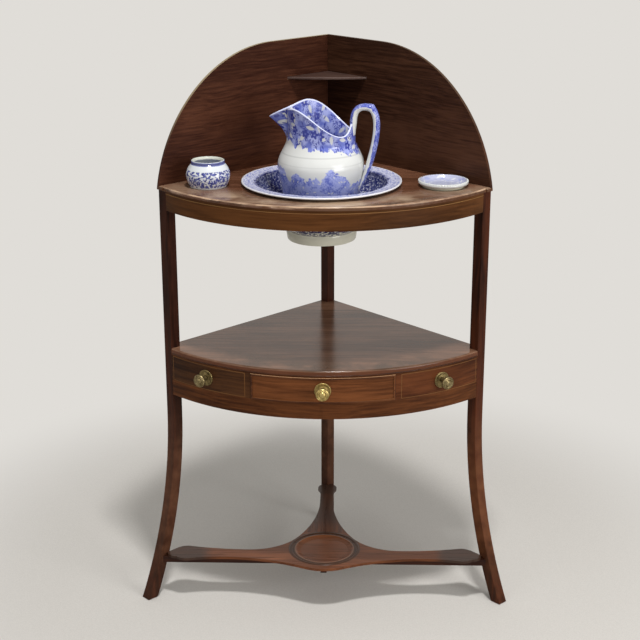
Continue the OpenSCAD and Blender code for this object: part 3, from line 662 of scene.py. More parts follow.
@dataclass(frozen=True)
class GlazeFinish:
    """White glaze with a generic blue print of blossoms and leaves on a clouded ground.

    Attributes:
        name: Name of the material.
        pattern: Where the print lies.
        centre: The piece's upright middle, from the wall corner.
        reach: The radius at which lengths round the piece are true.
        cell: Width of the print's largest motif.
        white: The bare glaze.
        pale: The print's lightest blue.
        middle: Its middle blue.
        deep: Its darkest blue.
        loop: Middle of the handle's loop, out from the jug's middle and up from the top board.
        turn: How far the lip is turned, in degrees.
    """

    name: str
    pattern: Print
    centre: Point2
    reach: float
    cell: float
    white: str = "d5d6d3"
    pale: str = "a3abdf"
    middle: str = "6a76c4"
    deep: str = "363f97"
    loop: Point2 = (85.0, 90.0)
    turn: float = 10.3

    def measure(self, graph: Graph) -> tuple[Socket, Socket, Socket, Socket]:
        """Lay the surface out flat around the piece's own upright middle.

        Args:
            graph: The tree that gets the nodes.

        Returns:
            The length round the piece, the distance from its middle, the height over the top board, and the
            mark that the mesh carries, in metres.
        """
        x, y, z = graph.split(graph.vector("SUBTRACT", graph.coords, tuple(place(*self.centre, TOP_UP))))
        turn = graph.math("ARCTAN2", graph.times(x, -1.0), y)
        mark = graph.add("Attribute", attribute_name=MARK).outputs["Fac"]
        return graph.times(turn, self.reach * MM), graph.distance(x, y), z, mark

    def dense_print(self, sheet: Sheet) -> Socket:
        """Draw the full print: clouded ground, fine foliage, light leaves and dark blossoms.

        Args:
            sheet: The laid out surface.

        Returns:
            The colour.
        """
        graph = sheet.graph
        colour = graph.tint(self.pale, self.middle, graph.band(sheet.cloud(1.1, 2.0), 0.42, 0.60))
        foliage = graph.band(sheet.cloud(9.0, 3.0, 0.6), 0.46, 0.58)
        patch = graph.band(sheet.cloud(1.3, 1.0, 0.5, (0.71, 0.23)), 0.42, 0.58)
        colour = graph.tint(colour, self.deep, foliage, patch)
        colour = graph.tint(colour, self.white, sheet.leaves(1.05, 0.46, 0.3, (0.37, 0.11)), 0.9)
        colour = graph.tint(colour, self.deep, sheet.leaves(2.1, 0.40, 0.35, (0.13, 0.53)), 0.8)
        return graph.tint(colour, self.deep, sheet.blossoms(0.8, 0.27, 0.3))

    def soft_print(self, sheet: Sheet) -> Socket:
        """Draw the lighter print: pale clumps of foliage with small white gaps.

        Args:
            sheet: The laid out surface.

        Returns:
            The colour.
        """
        graph = sheet.graph
        cloud = graph.times(sheet.cloud(1.6, 2.0), 0.5)
        tone = graph.math("MULTIPLY_ADD", sheet.cloud(7.0, 3.0, 0.62), 0.5, cloud)
        colour = graph.tint(self.pale, self.middle, graph.band(tone, 0.46, 0.60))
        return graph.tint(colour, self.white, sheet.leaves(2.6, 0.34, 0.62, (0.9, 0.4)))

    def jug_colour(self, graph: Graph) -> Socket:
        """Lay the jug's print: a full zone round the mouth, a white shoulder, and clumps round the base.

        Args:
            graph: The tree that gets the nodes.

        Returns:
            The colour.
        """
        length, _, height, below = self.measure(graph)
        flat = graph.join(length, height)
        sheet = Sheet(graph, flat, self.cell)
        slow = graph.noise(graph.join(length, 0.31), 16.0, 1.0, 0.4)
        lifted = graph.plus(height, graph.shake(flat, 95.0, 0.030))
        across = graph.minus(graph.split(graph.coords)[0], self.centre[0] * MM)
        tilted = graph.math("MULTIPLY_ADD", across, 0.14, lifted)
        upper = graph.band(graph.minus(tilted, graph.band(slow, 0.35, 0.65, 0.070, 0.084)), 0.0, 0.002)
        lower = graph.band(graph.minus(graph.band(slow, 0.42, 0.60, 0.004, 0.046), lifted), 0.0, 0.002)
        colour = graph.tint(self.white, self.soft_print(sheet), lower)
        colour = graph.tint(colour, self.dense_print(sheet), upper)
        # Two grey lines round the neck: painted shade of neck ridges that the mesh doesn't have.
        for level, share in ((0.0668, 0.45), (0.0500, 0.25)):
            line = graph.band(graph.off(height, level), 0.0004, 0.0018, share, 0.0)
            colour = graph.tint(colour, "a9aba8", line)
        return graph.tint(colour, "cfd3ee", graph.band(graph.off(below, 0.0), 0.0003, 0.0015, 1.0, 0.0))

    def handle_colour(self, graph: Graph) -> Socket:
        """Paint the handle blue on its outer face and white within.

        Args:
            graph: The tree that gets the nodes.

        Returns:
            The colour.
        """
        turn = math.radians(180 - self.turn)
        away = Vector((math.cos(turn), math.sin(turn))) * self.loop[0]
        spot = place(self.centre[0] - away.x, self.centre[1] - away.y, TOP_UP + self.loop[1])
        outward = graph.vector("NORMALIZE", graph.vector("SUBTRACT", graph.coords, tuple(spot)))
        facing = graph.add("NewGeometry").outputs["Normal"]
        lean = graph.add("VectorMath", facing, outward, operation="DOT_PRODUCT").outputs["Value"]
        outer = graph.band(graph.plus(lean, graph.shake(graph.coords, 160.0, 0.5)), 0.22, 0.36)
        broad = graph.band(graph.noise(graph.coords, 85.0, 2.0), 0.42, 0.58)
        fine = graph.band(graph.noise(graph.coords, 420.0, 3.0, 0.6), 0.45, 0.56)
        blue = graph.tint(graph.tint(self.pale, self.middle, broad), self.deep, fine, 0.9)
        return graph.tint(self.white, blue, outer)

    def basin_colour(self, graph: Graph) -> Socket:
        """Lay the basin's print: a light flange, a dark well whose darker ground is partly painted shade, and
        marks outside above a plain foot.

        Args:
            graph: The tree that gets the nodes.

        Returns:
            The colour.
        """
        length, out, height, inner = self.measure(graph)
        flat = graph.join(length, graph.plus(out, height))
        sheet = Sheet(graph, flat, self.cell)
        light = graph.tint("e0e2f2", "8a93d6", graph.band(sheet.cloud(5.0, 3.0, 0.62), 0.48, 0.60))
        light = graph.tint(light, "6370bb", sheet.leaves(1.8, 0.44, 0.35), 0.7)
        specks = graph.band(sheet.cloud(3.6, 4.0, 0.65, (0.5, 0.2)), 0.38, 0.50)
        # The well's darker ground is partly print and partly painted shade.
        well = graph.tint("b9bdd8", "333b7a", specks)
        well = graph.tint(well, "2a3172", sheet.blossoms(1.3, 0.30, 0.45))
        well = graph.tint(well, "dcdde2", sheet.leaves(2.0, 0.42, 0.5, (0.2, 0.7)), 0.85)
        ragged = graph.plus(out, graph.shake(flat, 60.0, 0.022, 3.0, 0.6))
        inside = graph.tint(well, light, graph.band(ragged, 0.1265, 0.1335))
        inside = graph.tint(inside, "e2e2e8", graph.band(out, 0.1518, 0.1528))
        blots = graph.band(graph.noise(flat, 80.0, 2.0), 0.45, 0.50)
        blots = graph.math("MAXIMUM", sheet.leaves(1.7, 0.48, 0.1), blots)
        under = graph.tint("c3c0b0", "2b315e", blots, graph.band(height, -0.0885, -0.087))
        under = graph.tint(under, "cccbc6", graph.band(out, 0.1300, 0.1320))
        return graph.tint(under, inside, inner)

    def pot_colour(self, graph: Graph) -> Socket:
        """Lay the brush pot's sprigs between a bare foot and a blue collar.

        Args:
            graph: The tree that gets the nodes.

        Returns:
            The colour.
        """
        length, _, height, inner = self.measure(graph)
        flat = graph.join(length, height)
        shake = graph.noise(flat, 90.0, 2.0)
        moved = graph.vector("ADD", flat, graph.join(graph.times(shake, 0.005), graph.times(shake, -0.004)))
        sheet = Sheet(graph, moved, self.cell)
        clouds = graph.band(Sheet(graph, flat, self.cell).cloud(2.0, 2.0), 0.42, 0.58)
        ink = graph.tint(self.deep, self.middle, clouds)
        sprigs = sheet.leaves(1.0, 0.56, 0.0)
        second = sheet.leaves(1.2, 0.52, 0.1, (0.41, 0.19))
        third = sheet.leaves(1.5, 0.46, 0.1, (0.27, 0.43))
        for more in (second, third, sheet.blossoms(0.8, 0.22, 0.4, (0.83, 0.67))):
            sprigs = graph.math("MAXIMUM", sprigs, more)
        zone = graph.times(graph.band(height, 0.002, 0.004), graph.band(height, 0.0335, 0.0350, 1.0, 0.0))
        halo = graph.band(sheet.cloud(0.9, 2.0), 0.45, 0.65, 0.0, 0.35)
        colour = graph.tint(self.white, "a9aed2", halo, zone)
        colour = graph.tint(colour, ink, sprigs, zone)
        colour = graph.tint(colour, "454c90", graph.band(graph.off(height, 0.0472), 0.0030, 0.0036, 0.9, 0.0))
        within = graph.tint("7d86ae", "cfd2c6", graph.band(height, 0.0355, 0.0400))
        return graph.tint(colour, within, inner)

    def dish_colour(self, graph: Graph) -> Socket:
        """Lay the soap dish's faint print inside its plain rim.

        Args:
            graph: The tree that gets the nodes.

        Returns:
            The colour.
        """
        length, out, height, inner = self.measure(graph)
        sheet = Sheet(graph, graph.join(length, out), self.cell)
        plain = graph.tint("cfcdb8", self.white, graph.band(height, 0.0036, 0.0046))
        ring = graph.band(graph.off(out, 0.033), 0.0006, 0.0012, 0.6, 0.0)
        sprigs = graph.times(sheet.leaves(1.0, 0.42, 0.35), 0.7)
        faint = graph.tint(self.pale, self.middle, graph.math("MAXIMUM", ring, sprigs))
        faint = graph.tint(faint, "dcdde0", sheet.leaves(1.5, 0.46, 0.35), 0.85)
        return graph.tint(plain, faint, inner, graph.band(out, 0.0442, 0.0452, 1.0, 0.0))

    def make(self) -> Material:
        """Build the material.

        Returns:
            The finished glaze.
        """
        graph = Graph(bpy.data.materials.new(self.name))
        painters = {
            Print.BASIN: self.basin_colour, Print.JUG: self.jug_colour, Print.HANDLE: self.handle_colour,
            Print.POT: self.pot_colour, Print.DISH: self.dish_colour,
        }
        ripple = graph.noise(graph.coords, 45.0, 2.0)
        return graph.surface(
            Base_Color=painters[self.pattern](graph),
            Roughness=graph.band(ripple, 0.3, 0.7, 0.15, 0.22),
            Normal=graph.bump(ripple, 0.0006, 0.35),
            Specular_IOR_Level=0.4,
            Coat_Weight=0.15,
            Coat_Roughness=0.08,
        )


def new_object(name: str, mesh: Mesh, material: Material, smooth_angle: float = 50.0) -> Piece:
    """Put a mesh in the scene with its finish.

    Args:
        name: Name of the piece.
        mesh: Its mesh, already in its place.
        material: Its finish.
        smooth_angle: Largest angle in degrees that is shaded round.

    Returns:
        The new object.
    """
    piece = bpy.data.objects.new(name, mesh)
    bpy.context.scene.collection.objects.link(piece)
    mesh.materials.clear()
    mesh.materials.append(material)
    mesh.polygons.foreach_set("use_smooth", [True] * len(mesh.polygons))
    mesh.set_sharp_from_angle(angle=math.radians(smooth_angle))
    return piece


def hand_over(piece: Piece, body: str, node: str = "") -> None:
    """Say what a piece belongs to.

    Args:
        piece: The piece.
        body: The body that it moves with.
        node: The CAD node that it stands in for, if any.
    """
    if node:
        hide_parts(node)
    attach(piece, body)


def dress(piece: Piece, material: Material) -> None:
    """Give a CAD node its finish.

    Args:
        piece: The node's object.
        material: The finish.
    """
    if not piece.material_slots:
        piece.data.materials.append(material)
    for slot in piece.material_slots:
        slot.material = material


def rings_mesh(name: str, rings: Sequence[Sequence[Vector]], marks: Sequence[float] = ()) -> Mesh:
    """Skin a row of closed rings, with a fan over each end.

    Args:
        name: Name of the mesh.
        rings: Rings of the same number of points.
        marks: One number for each ring, which the finish may read.

    Returns:
        The mesh, facing outwards.
    """
    shape = bmesh.new()
    carried = shape.verts.layers.float.new(MARK)
    rows = [[shape.verts.new(point) for point in ring] for ring in rings]
    count = len(rows[0])
    for row, mark in zip(rows, marks or [0.0] * len(rows)):
        for vert in row:
            vert[carried] = mark
    for low, high in zip(rows, rows[1:]):
        for i in range(count):
            shape.faces.new((low[i], low[(i + 1) % count], high[(i + 1) % count], high[i]))
    for row in (rows[0], rows[-1]):
        centre = shape.verts.new(sum((v.co for v in row), Vector()) / count)
        centre[carried] = row[0][carried]
        for i in range(count):
            shape.faces.new((row[i], row[(i + 1) % count], centre))
    bmesh.ops.remove_doubles(shape, verts=shape.verts, dist=1e-6)
    bmesh.ops.recalc_face_normals(shape, faces=shape.faces)
    mesh = bpy.data.meshes.new(name)
    shape.to_mesh(mesh)
    shape.free()
    return mesh


def turned(
    name: str, profile: Iterable[Point2], frame_of: Matrix, steps: int = 96, inner_from: float = math.inf
) -> Mesh:
    """Turn a profile round its own middle.

    Args:
        name: Name of the mesh.
        profile: Distance out and height, in millimetres, from the middle of one end to the other.
        frame_of: Where its middle stands and which way it points.
        steps: Faces round it.
        inner_from: Which point of the profile starts the inside, for the finish.

    Returns:
        The turned mesh.
    """
    turns = [2 * math.pi * i / steps for i in range(steps)]
    rings, marks = [], []
    for index, (out, up) in enumerate(profile):
        if out > 0:
            ring = [Vector((out * math.cos(turn), out * math.sin(turn), up)) for turn in turns]
            rings.append([frame_of @ (point * MM) for point in ring])
            marks.append(1.0 if index >= inner_from else 0.0)
    return rings_mesh(name, rings, marks)


def ware(node: str, profile: Sequence[Point2], glaze: GlazeFinish, steps: int, side: int) -> Piece:
    """Turn a glazed piece that stands over the top board.

    Args:
        node: The CAD node that it stands in for.
        profile: From under its foot, over the rim, to the middle of its inner floor.
        glaze: Its finish, which holds its upright middle.
        steps: Faces round it.
        side: Whether the inside starts at the widest point (0) or at the highest (1).

    Returns:
        The new object.
    """
    rim = max(range(len(profile)), key=lambda i: profile[i][side])
    mesh = turned(node, profile, stand_at(glaze.centre), steps, rim)
    return new_object(f"{node}_turned", mesh, glaze.make())


def soft(values: Sequence[float], t: float) -> float:
    """Follow a soft curve through four numbers.

    Args:
        values: The four numbers.
        t: How far along it, from nought at the second to one at the third.

    Returns:
        The number there.
    """
    a, b, c, d = values
    bend, twist = 2 * a - 5 * b + 4 * c - d, 3 * b - a - 3 * c + d
    return 0.5 * (2 * b + (c - a) * t + bend * t * t + twist * t ** 3)


def smooth_profile(points: Sequence[Point2], cuts: int = 4) -> list[Point2]:
    """Run a soft curve through the points of a profile.

    Args:
        points: The profile's points.
        cuts: New points between each two.

    Returns:
        The finer profile.
    """
    out: list[Point2] = []
    ends = [points[0], *points, points[-1]]
    for four in zip(ends, ends[1:], ends[2:], ends[3:]):
        out += [tuple(soft(values, k / cuts) for values in zip(*four)) for k in range(cuts)]
    return out + [points[-1]]


def bowl(r0: float, z0: float, r1: float, z1: float, steps: int = 40) -> list[Point2]:
    """Give an eighth of an ellipse, in millimetres.

    Args:
        r0: Radius of its slanted start.
        z0: Height of its slanted start.
        r1: Radius of its upright end.
        z1: Height of its upright end.
        steps: How many steps it has.

    Returns:
        The points from start to end.
    """
    half = math.pi / 4
    wide, deep = (r1 - r0) / (1 - math.sin(half)), (z1 - z0) / math.cos(half)
    turns = [half + half * i / steps for i in range(steps + 1)]
    return [(r1 - wide * (1 - math.sin(a)), z1 - deep * math.cos(a)) for a in turns]


def bezier(curve: Sequence[Vector], t: float) -> tuple[Vector, Vector]:
    """Follow a curve that has four control points.

    Args:
        curve: The control points.
        t: How far along it, from nought to one.

    Returns:
        The place there, and the direction.
    """
    a, b, c, d = curve
    s = 1 - t
    spot = s ** 3 * a + 3 * s * s * t * b + 3 * s * t * t * c + t ** 3 * d
    way = s * s * (b - a) + 2 * s * t * (c - b) + t * t * (d - c)
    return spot, way.normalized()


@dataclass
class Timber:
    """The wooden pieces: each keeps its CAD shape and gets its finish, and the larger ones stand in as copies
    with eased edges.
    """

    frame: dict

    def finishes(self) -> list[tuple[WoodFinish, str]]:
        """Say which wooden nodes each finish goes on.

        Returns:
            The finishes, each with the names of its nodes.
        """
        up, across, back, bow = Grain.UP, Grain.ACROSS, Grain.BACK, Grain.BOW
        left, right = Grain.WALL_LEFT, Grain.WALL_RIGHT
        leg = {"rough": 0.42, "specular": 0.08}
        panel = {"streak": 300.0, "figure": 8.0, "rough": 0.45, "specular": 0.08}
        front = {"streak": 190.0, "figure": 14.0, "specular": 0.08}
        case = {**front, "offset": 1.9, "mottle": 0.25}
        drawer = {**front, "figure": 18.0, "offset": 2.1, "mottle": 0.2}
        plate = {"rough": 0.3, "coat": 0.05, "offset": 1.7, "ring": 333.5}
        bead = {"rough": 0.3, "offset": 0.3}
        line = {"rough": 0.42, "specular": 0.1, "offset": 0.2}
        pine = {"specular": 0.2}
        # Top board: a painted highlight on its arris, a lighter zone behind it that is partly wear and partly
        # painted sheen, and painted shade on its front face.
        top = {
            "rough": 0.26, "specular": 0.25, "coat": 0.12, "wear": "6c5243", "bow": TOP_BOW, "side": "4c2913",
            "edge": "bb9c80", "edge_out": 386.2, "edge_top": TOP_UP, "rubbed_and_painted_light": "b2987f",
        }
        # Middle shelf: a painted highlight on its arris, a greyer zone behind it that is partly wear and
        # partly painted shade, and painted shade on its front face.
        shelf = {
            "rough": 0.2, "specular": 0.22, "coat": 0.12, "wear": "70503f", "offset": 0.8, "side": "5a2e14",
            "edge": "7d5e47", "edge_out": 443.0, "edge_top": 535.5, "rubbed_and_painted_light": "4c382a",
        }
        hidden = " ".join(
            f"{stem}_{side}"
            for side in ("left", "right")
            for stem in ("glue_block", "runner", "guide", "kicker", "stop", "drawer_side")
        )
        wood = WoodFinish
        return [
            # The right leg's finish is a lighter, lit copy of the others, painted light; the lower parts of
            # all legs carry painted light.
            (wood("leg_polish", "1c0c07", "472417", up, low="5f3e2c", **leg), "back_leg left_leg"),
            (wood("right_leg_lit_polish", "200e08", "522917", up, offset=0.3, low="6c432b", **leg), "right_leg"),
            # The right splash panel's finish is a darker copy of the left one's, painted shade; their faces
            # that look up carry a painted highlight on the left and painted shade on the right.
            (wood("left_splash_polish", "301810", "583423", left, upward="8f8066", **panel), "splash_left"),
            (wood("right_splash_shaded_polish", "28150d", "523424", right, offset=0.4, upward="4c3a2b", **panel),
             "splash_right"),
            (wood("corner_shelf_polish", "362520", "564139", across, rough=0.4, specular=0.3, offset=0.6),
             "corner_shelf"),
            (wood("top_polish", "4e2f1f", "79513c", across, **top), "top_board"),
            (wood("shelf_polish", "573b2b", "8c664f", across, **shelf), "middle_shelf"),
            (wood("frieze_polish", "3b210d", "5e391c", bow, offset=2.6, bow=TOP_BOW, mottle=0.2, **front),
             "top_frieze"),
            (wood("case_polish", "33190b", "6b3e20", bow, **case), "upper_rail lower_rail"),
            # The left sham front's finish is a darker copy of the right one's: painted shade.
            (wood("left_sham_shaded_polish", "23120a", "52331d", bow, **case), "sham_left"),
            (wood("right_sham_polish", "31160a", "693b20", bow, **case), "sham_right"),
            (wood("drawer_polish", "3e200e", "754526", bow, **drawer), "drawer_front"),
            # The beads' faces that look up carry a painted highlight, weaker on the bottom bead.
            (wood("bead_polish", "3a1d0f", "744526", bow, upward="e0b184", **bead),
             "bead_top bead_left bead_right"),
            (wood("low_bead_polish", "3a1d0f", "704324", bow, upward="7e5230", **bead), "bead_bottom"),
            (wood("frieze_boxwood_line", "765030", "96703f", bow, **line), "top_stringing"),
            (wood("boxwood_line", "5c3a1e", "7e5631", bow, **line), "sham_lines_left sham_lines_right"),
            # The stretcher's finish paints shade, a highlight and dark reflections round its turned dish.
            (wood("stretcher_polish", "522c16", "885233", across, **plate), "stretcher_plate stretcher_dish"),
            (wood("cross_rail_polish", "200d08", "44210f", across, offset=0.5), "stretcher_cross"),
            (wood("spine_rail_polish", "200d08", "44210f", back, offset=0.6), "stretcher_spine"),
            (wood("rail_polish", "200d08", "44210f", left, offset=0.9), "top_rail_left case_side_left"),
            (wood("other_rail_polish", "200d08", "44210f", right, offset=1.1),
             "top_rail_right case_side_right"),
            (wood("drawer_bottom_pine", "7d5d3b", "b58f61", across, streak=80.0, rough=0.62, **pine),
             "drawer_bottom drawer_back"),
            (wood("drawer_pine", "7a5a38", "b08a5c", back, streak=90.0, rough=0.6, **pine), hidden),
        ]

    def body_of(self, node: str) -> str:
        """Find the body that a node belongs to."""
        bodies = self.frame["record"]["behaviour"]["bodies"]
        return next(name for name, nodes in bodies.items() if node in nodes)

    def ease_node(self, node: str, material: Material, width: float) -> None:
        """Stand a copy with eased edges in a node's place.

        Args:
            node: The CAD node.
            material: Its finish.
            width: How wide the eased edge is, in millimetres.
        """
        shape = bmesh.new()
        shape.from_mesh(self.frame["nodes"][node].data)
        bmesh.ops.remove_doubles(shape, verts=shape.verts, dist=2e-6)
        bmesh.ops.dissolve_limit(shape, angle_limit=math.radians(0.6), verts=shape.verts, edges=shape.edges)
        mesh = bpy.data.meshes.new(f"{node}_eased")
        shape.to_mesh(mesh)
        shape.free()
        sharp = 35.0
        piece = new_object(f"{node}_eased", mesh, material, sharp)
        bevel = piece.modifiers.new("eased_edges", "BEVEL")
        bevel.width = width * MM
        bevel.segments = 3
        bevel.limit_method = "ANGLE"
        bevel.angle_limit = math.radians(sharp)
        bevel.use_clamp_overlap = True
        bevel.harden_normals = True
        hand_over(piece, self.body_of(node), node)

    def build(self) -> None:
        """Dress every wooden node."""
        eased = {
            "left_leg": 1.0, "right_leg": 1.0, "back_leg": 1.0, "splash_left": 1.2, "splash_right": 1.2,
            "top_frieze": 0.5, "lower_rail": 0.7, "corner_shelf": 1.5, "top_board": 1.0,
        }
        for finish, nodes in self.finishes():
            material = finish.make()
            for node in nodes.split():
                if node in eased:
                    self.ease_node(node, material, eased[node])
                else:
                    dress(self.frame["nodes"][node], material)
                LOG.info("wood: %s in %s", node, finish.name)


@dataclass
class BrassKnobs:
    """Three turned knobs on their roses, with ringed faces."""

    frame: dict
    height: float = 496.0
    angle: float = 31.5
    head: float = 13.0
    reach: float = 27.0
    rose: float = 16.25

    def face(self, angle: float) -> Matrix:
        """Stand a frame on the bow front, pointing out.

        Args:
            angle: Turn from the middle, in degrees.

        Returns:
            The frame, whose Z points away from the front.
        """
        turn = math.radians(angle)
        out = Vector((math.sin(turn), -math.cos(turn), 0.0))
        side = Vector((math.cos(turn), math.sin(turn), 0.0))
        radius = CASE_BOW.radius
        spot = place(radius * out.x, CASE_BOW.centre + radius * out.y, self.height)
        return Matrix.Translation(spot) @ Matrix((side, out.cross(side), out)).transposed().to_4x4()

    def knob_profile(self) -> list[Point2]:
        """Give the knob's profile, from its neck to its ringed face.

        Returns:
            Distance out and height of each point, in millimetres.
        """
        r, z = self.head, self.reach
        side = smooth_profile([
            (4.2, 1.2), (3.6, 4.5), (3.6, z - 15), (5.2, z - 12.6), (9.4, z - 11), (r - 0.6, z - 8.4),
            (r, z - 6.2), (r - 0.5, z - 4.3),
        ])
        sunk = [
            (1.3, 3.2), (2.2, 2.9), (2.9, 3.5), (3.6, 2.5), (4.6, 2.0), (5.6, 2.4), (6.2, 3.0), (7.0, 1.9),
            (8.2, 0.7), (9.6, 0.15), (11.2, 0.0), (r, 0.0),
        ]
        return [(0.0, 0.6), (4.2, 0.6)] + side + [(r - inward, z - down) for inward, down in sunk]

    def rose_profile(self) -> list[Point2]:
        """Give the rose's profile, a dished disc with a raised edge.

        Returns:
            Distance out and height of each point, in millimetres.
        """
        r = self.rose
        raised = [
            (0.0, 0.0), (0.0, 0.9), (0.6, 1.7), (1.6, 2.0), (2.6, 1.6), (3.4, 1.0), (5.0, 1.1), (8.0, 1.5),
            (9.4, 2.3), (10.4, 2.4), (r - 5.0, 1.6), (r, 1.5),
        ]
        return [(0.0, 0.0)] + [(r - inward, up) for inward, up in raised]

    def build(self) -> None:
        """Build the knobs and roses and hand them to their bodies."""
        # The side knobs and roses get darker copies of the drawer's brass: painted shade.
        bright = (
            BrassFinish("knob_brass", "dcc582", "6a5935", 0.3),
            BrassFinish("rose_brass", "c8b173", "5a4b2c", 0.34),
        )
        dull = (
            BrassFinish("side_knob_shaded_brass", "a3936b", "453a25", 0.33),
            BrassFinish("side_rose_shaded_brass", "9c8a5e", "42361f", 0.38),
        )
        made = {"drawer": [finish.make() for finish in bright], "side": [finish.make() for finish in dull]}
        iron = IronFinish("nut_iron", "5a5348", "2f2a24", 0.55, 0.9).make()
        kinds = ("knob", "rose", "nut")
        for side, angle in (("left", -self.angle), ("right", self.angle), ("drawer", 0.0)):
            mine = side == "drawer"
            knob, rose, nut = (f"drawer_{kind}" if mine else f"{kind}_{side}" for kind in kinds)
            profiles = ((knob, self.knob_profile()), (rose, self.rose_profile()))
            for (node, profile), brass in zip(profiles, made["drawer" if mine else "side"]):
                piece = new_object(f"{node}_turned", turned(node, profile, self.face(angle)), brass)
                hand_over(piece, "drawer" if mine else "stand", node)
            dress(self.frame["nodes"][nut], iron)
            LOG.info("brass: %s knob and rose", side)


@dataclass
class Basin:
    """The wide basin that hangs in the top."""

    centre: Point2 = (-5.7, -298.8)
    rim: float = 155.4
    rim_up: float = 9.0
    drop: float = 107.5
    foot: float = 67.0
    foot_up: float = 19.0
    floor: float = 5.0
    body: float = 131.5
    wall: float = 5.0
    around: int = 160

    def profile(self) -> list[Point2]:
        """Give the basin's whole profile, from under its foot to the middle of its floor.

        Returns:
            Distance out and height of each point, in millimetres.
        """
        low, foot = -self.drop, self.foot
        start = low + self.foot_up
        deep = start + self.floor
        under: list[Point2] = [
            (0.0, start), (foot - 9, start), (foot - 6, low), (foot - 1, low), (foot, low + 1.5),
            (foot + 2, start - 4),
        ]
        top, far, hip = self.rim_up, self.rim, self.body - self.wall / 2
        rim: list[Point2] = [
            (self.body + 5, 0.3), (far - 2, top - 3.8), (far - 0.4, top - 2.8), (far, top - 1.8),
            (far - 0.3, top - 0.7), (far - 1, top), (far - 2.2, top), (far - 3.5, top - 0.4),
            (hip + 5, top - 2.0), (hip + 1.5, top - 2.3), (hip - 0.8, top - 2.7), (hip - 2.0, top - 3.3),
        ]
        inner = bowl(foot - 7, deep, self.body - self.wall, top - 4)[::-1]
        return under + bowl(foot + 1, start, self.body, 0.3) + rim + inner + [(0.0, deep)]

    def build(self) -> None:
        """Build the basin and hand it to its body."""
        glaze = GlazeFinish("basin_glaze", Print.BASIN, self.centre, 120.0, 17.0)
        piece = ware("basin", self.profile(), glaze, self.around, 0)
        hand_over(piece, "basin", "basin")
        LOG.info("wash set: basin")


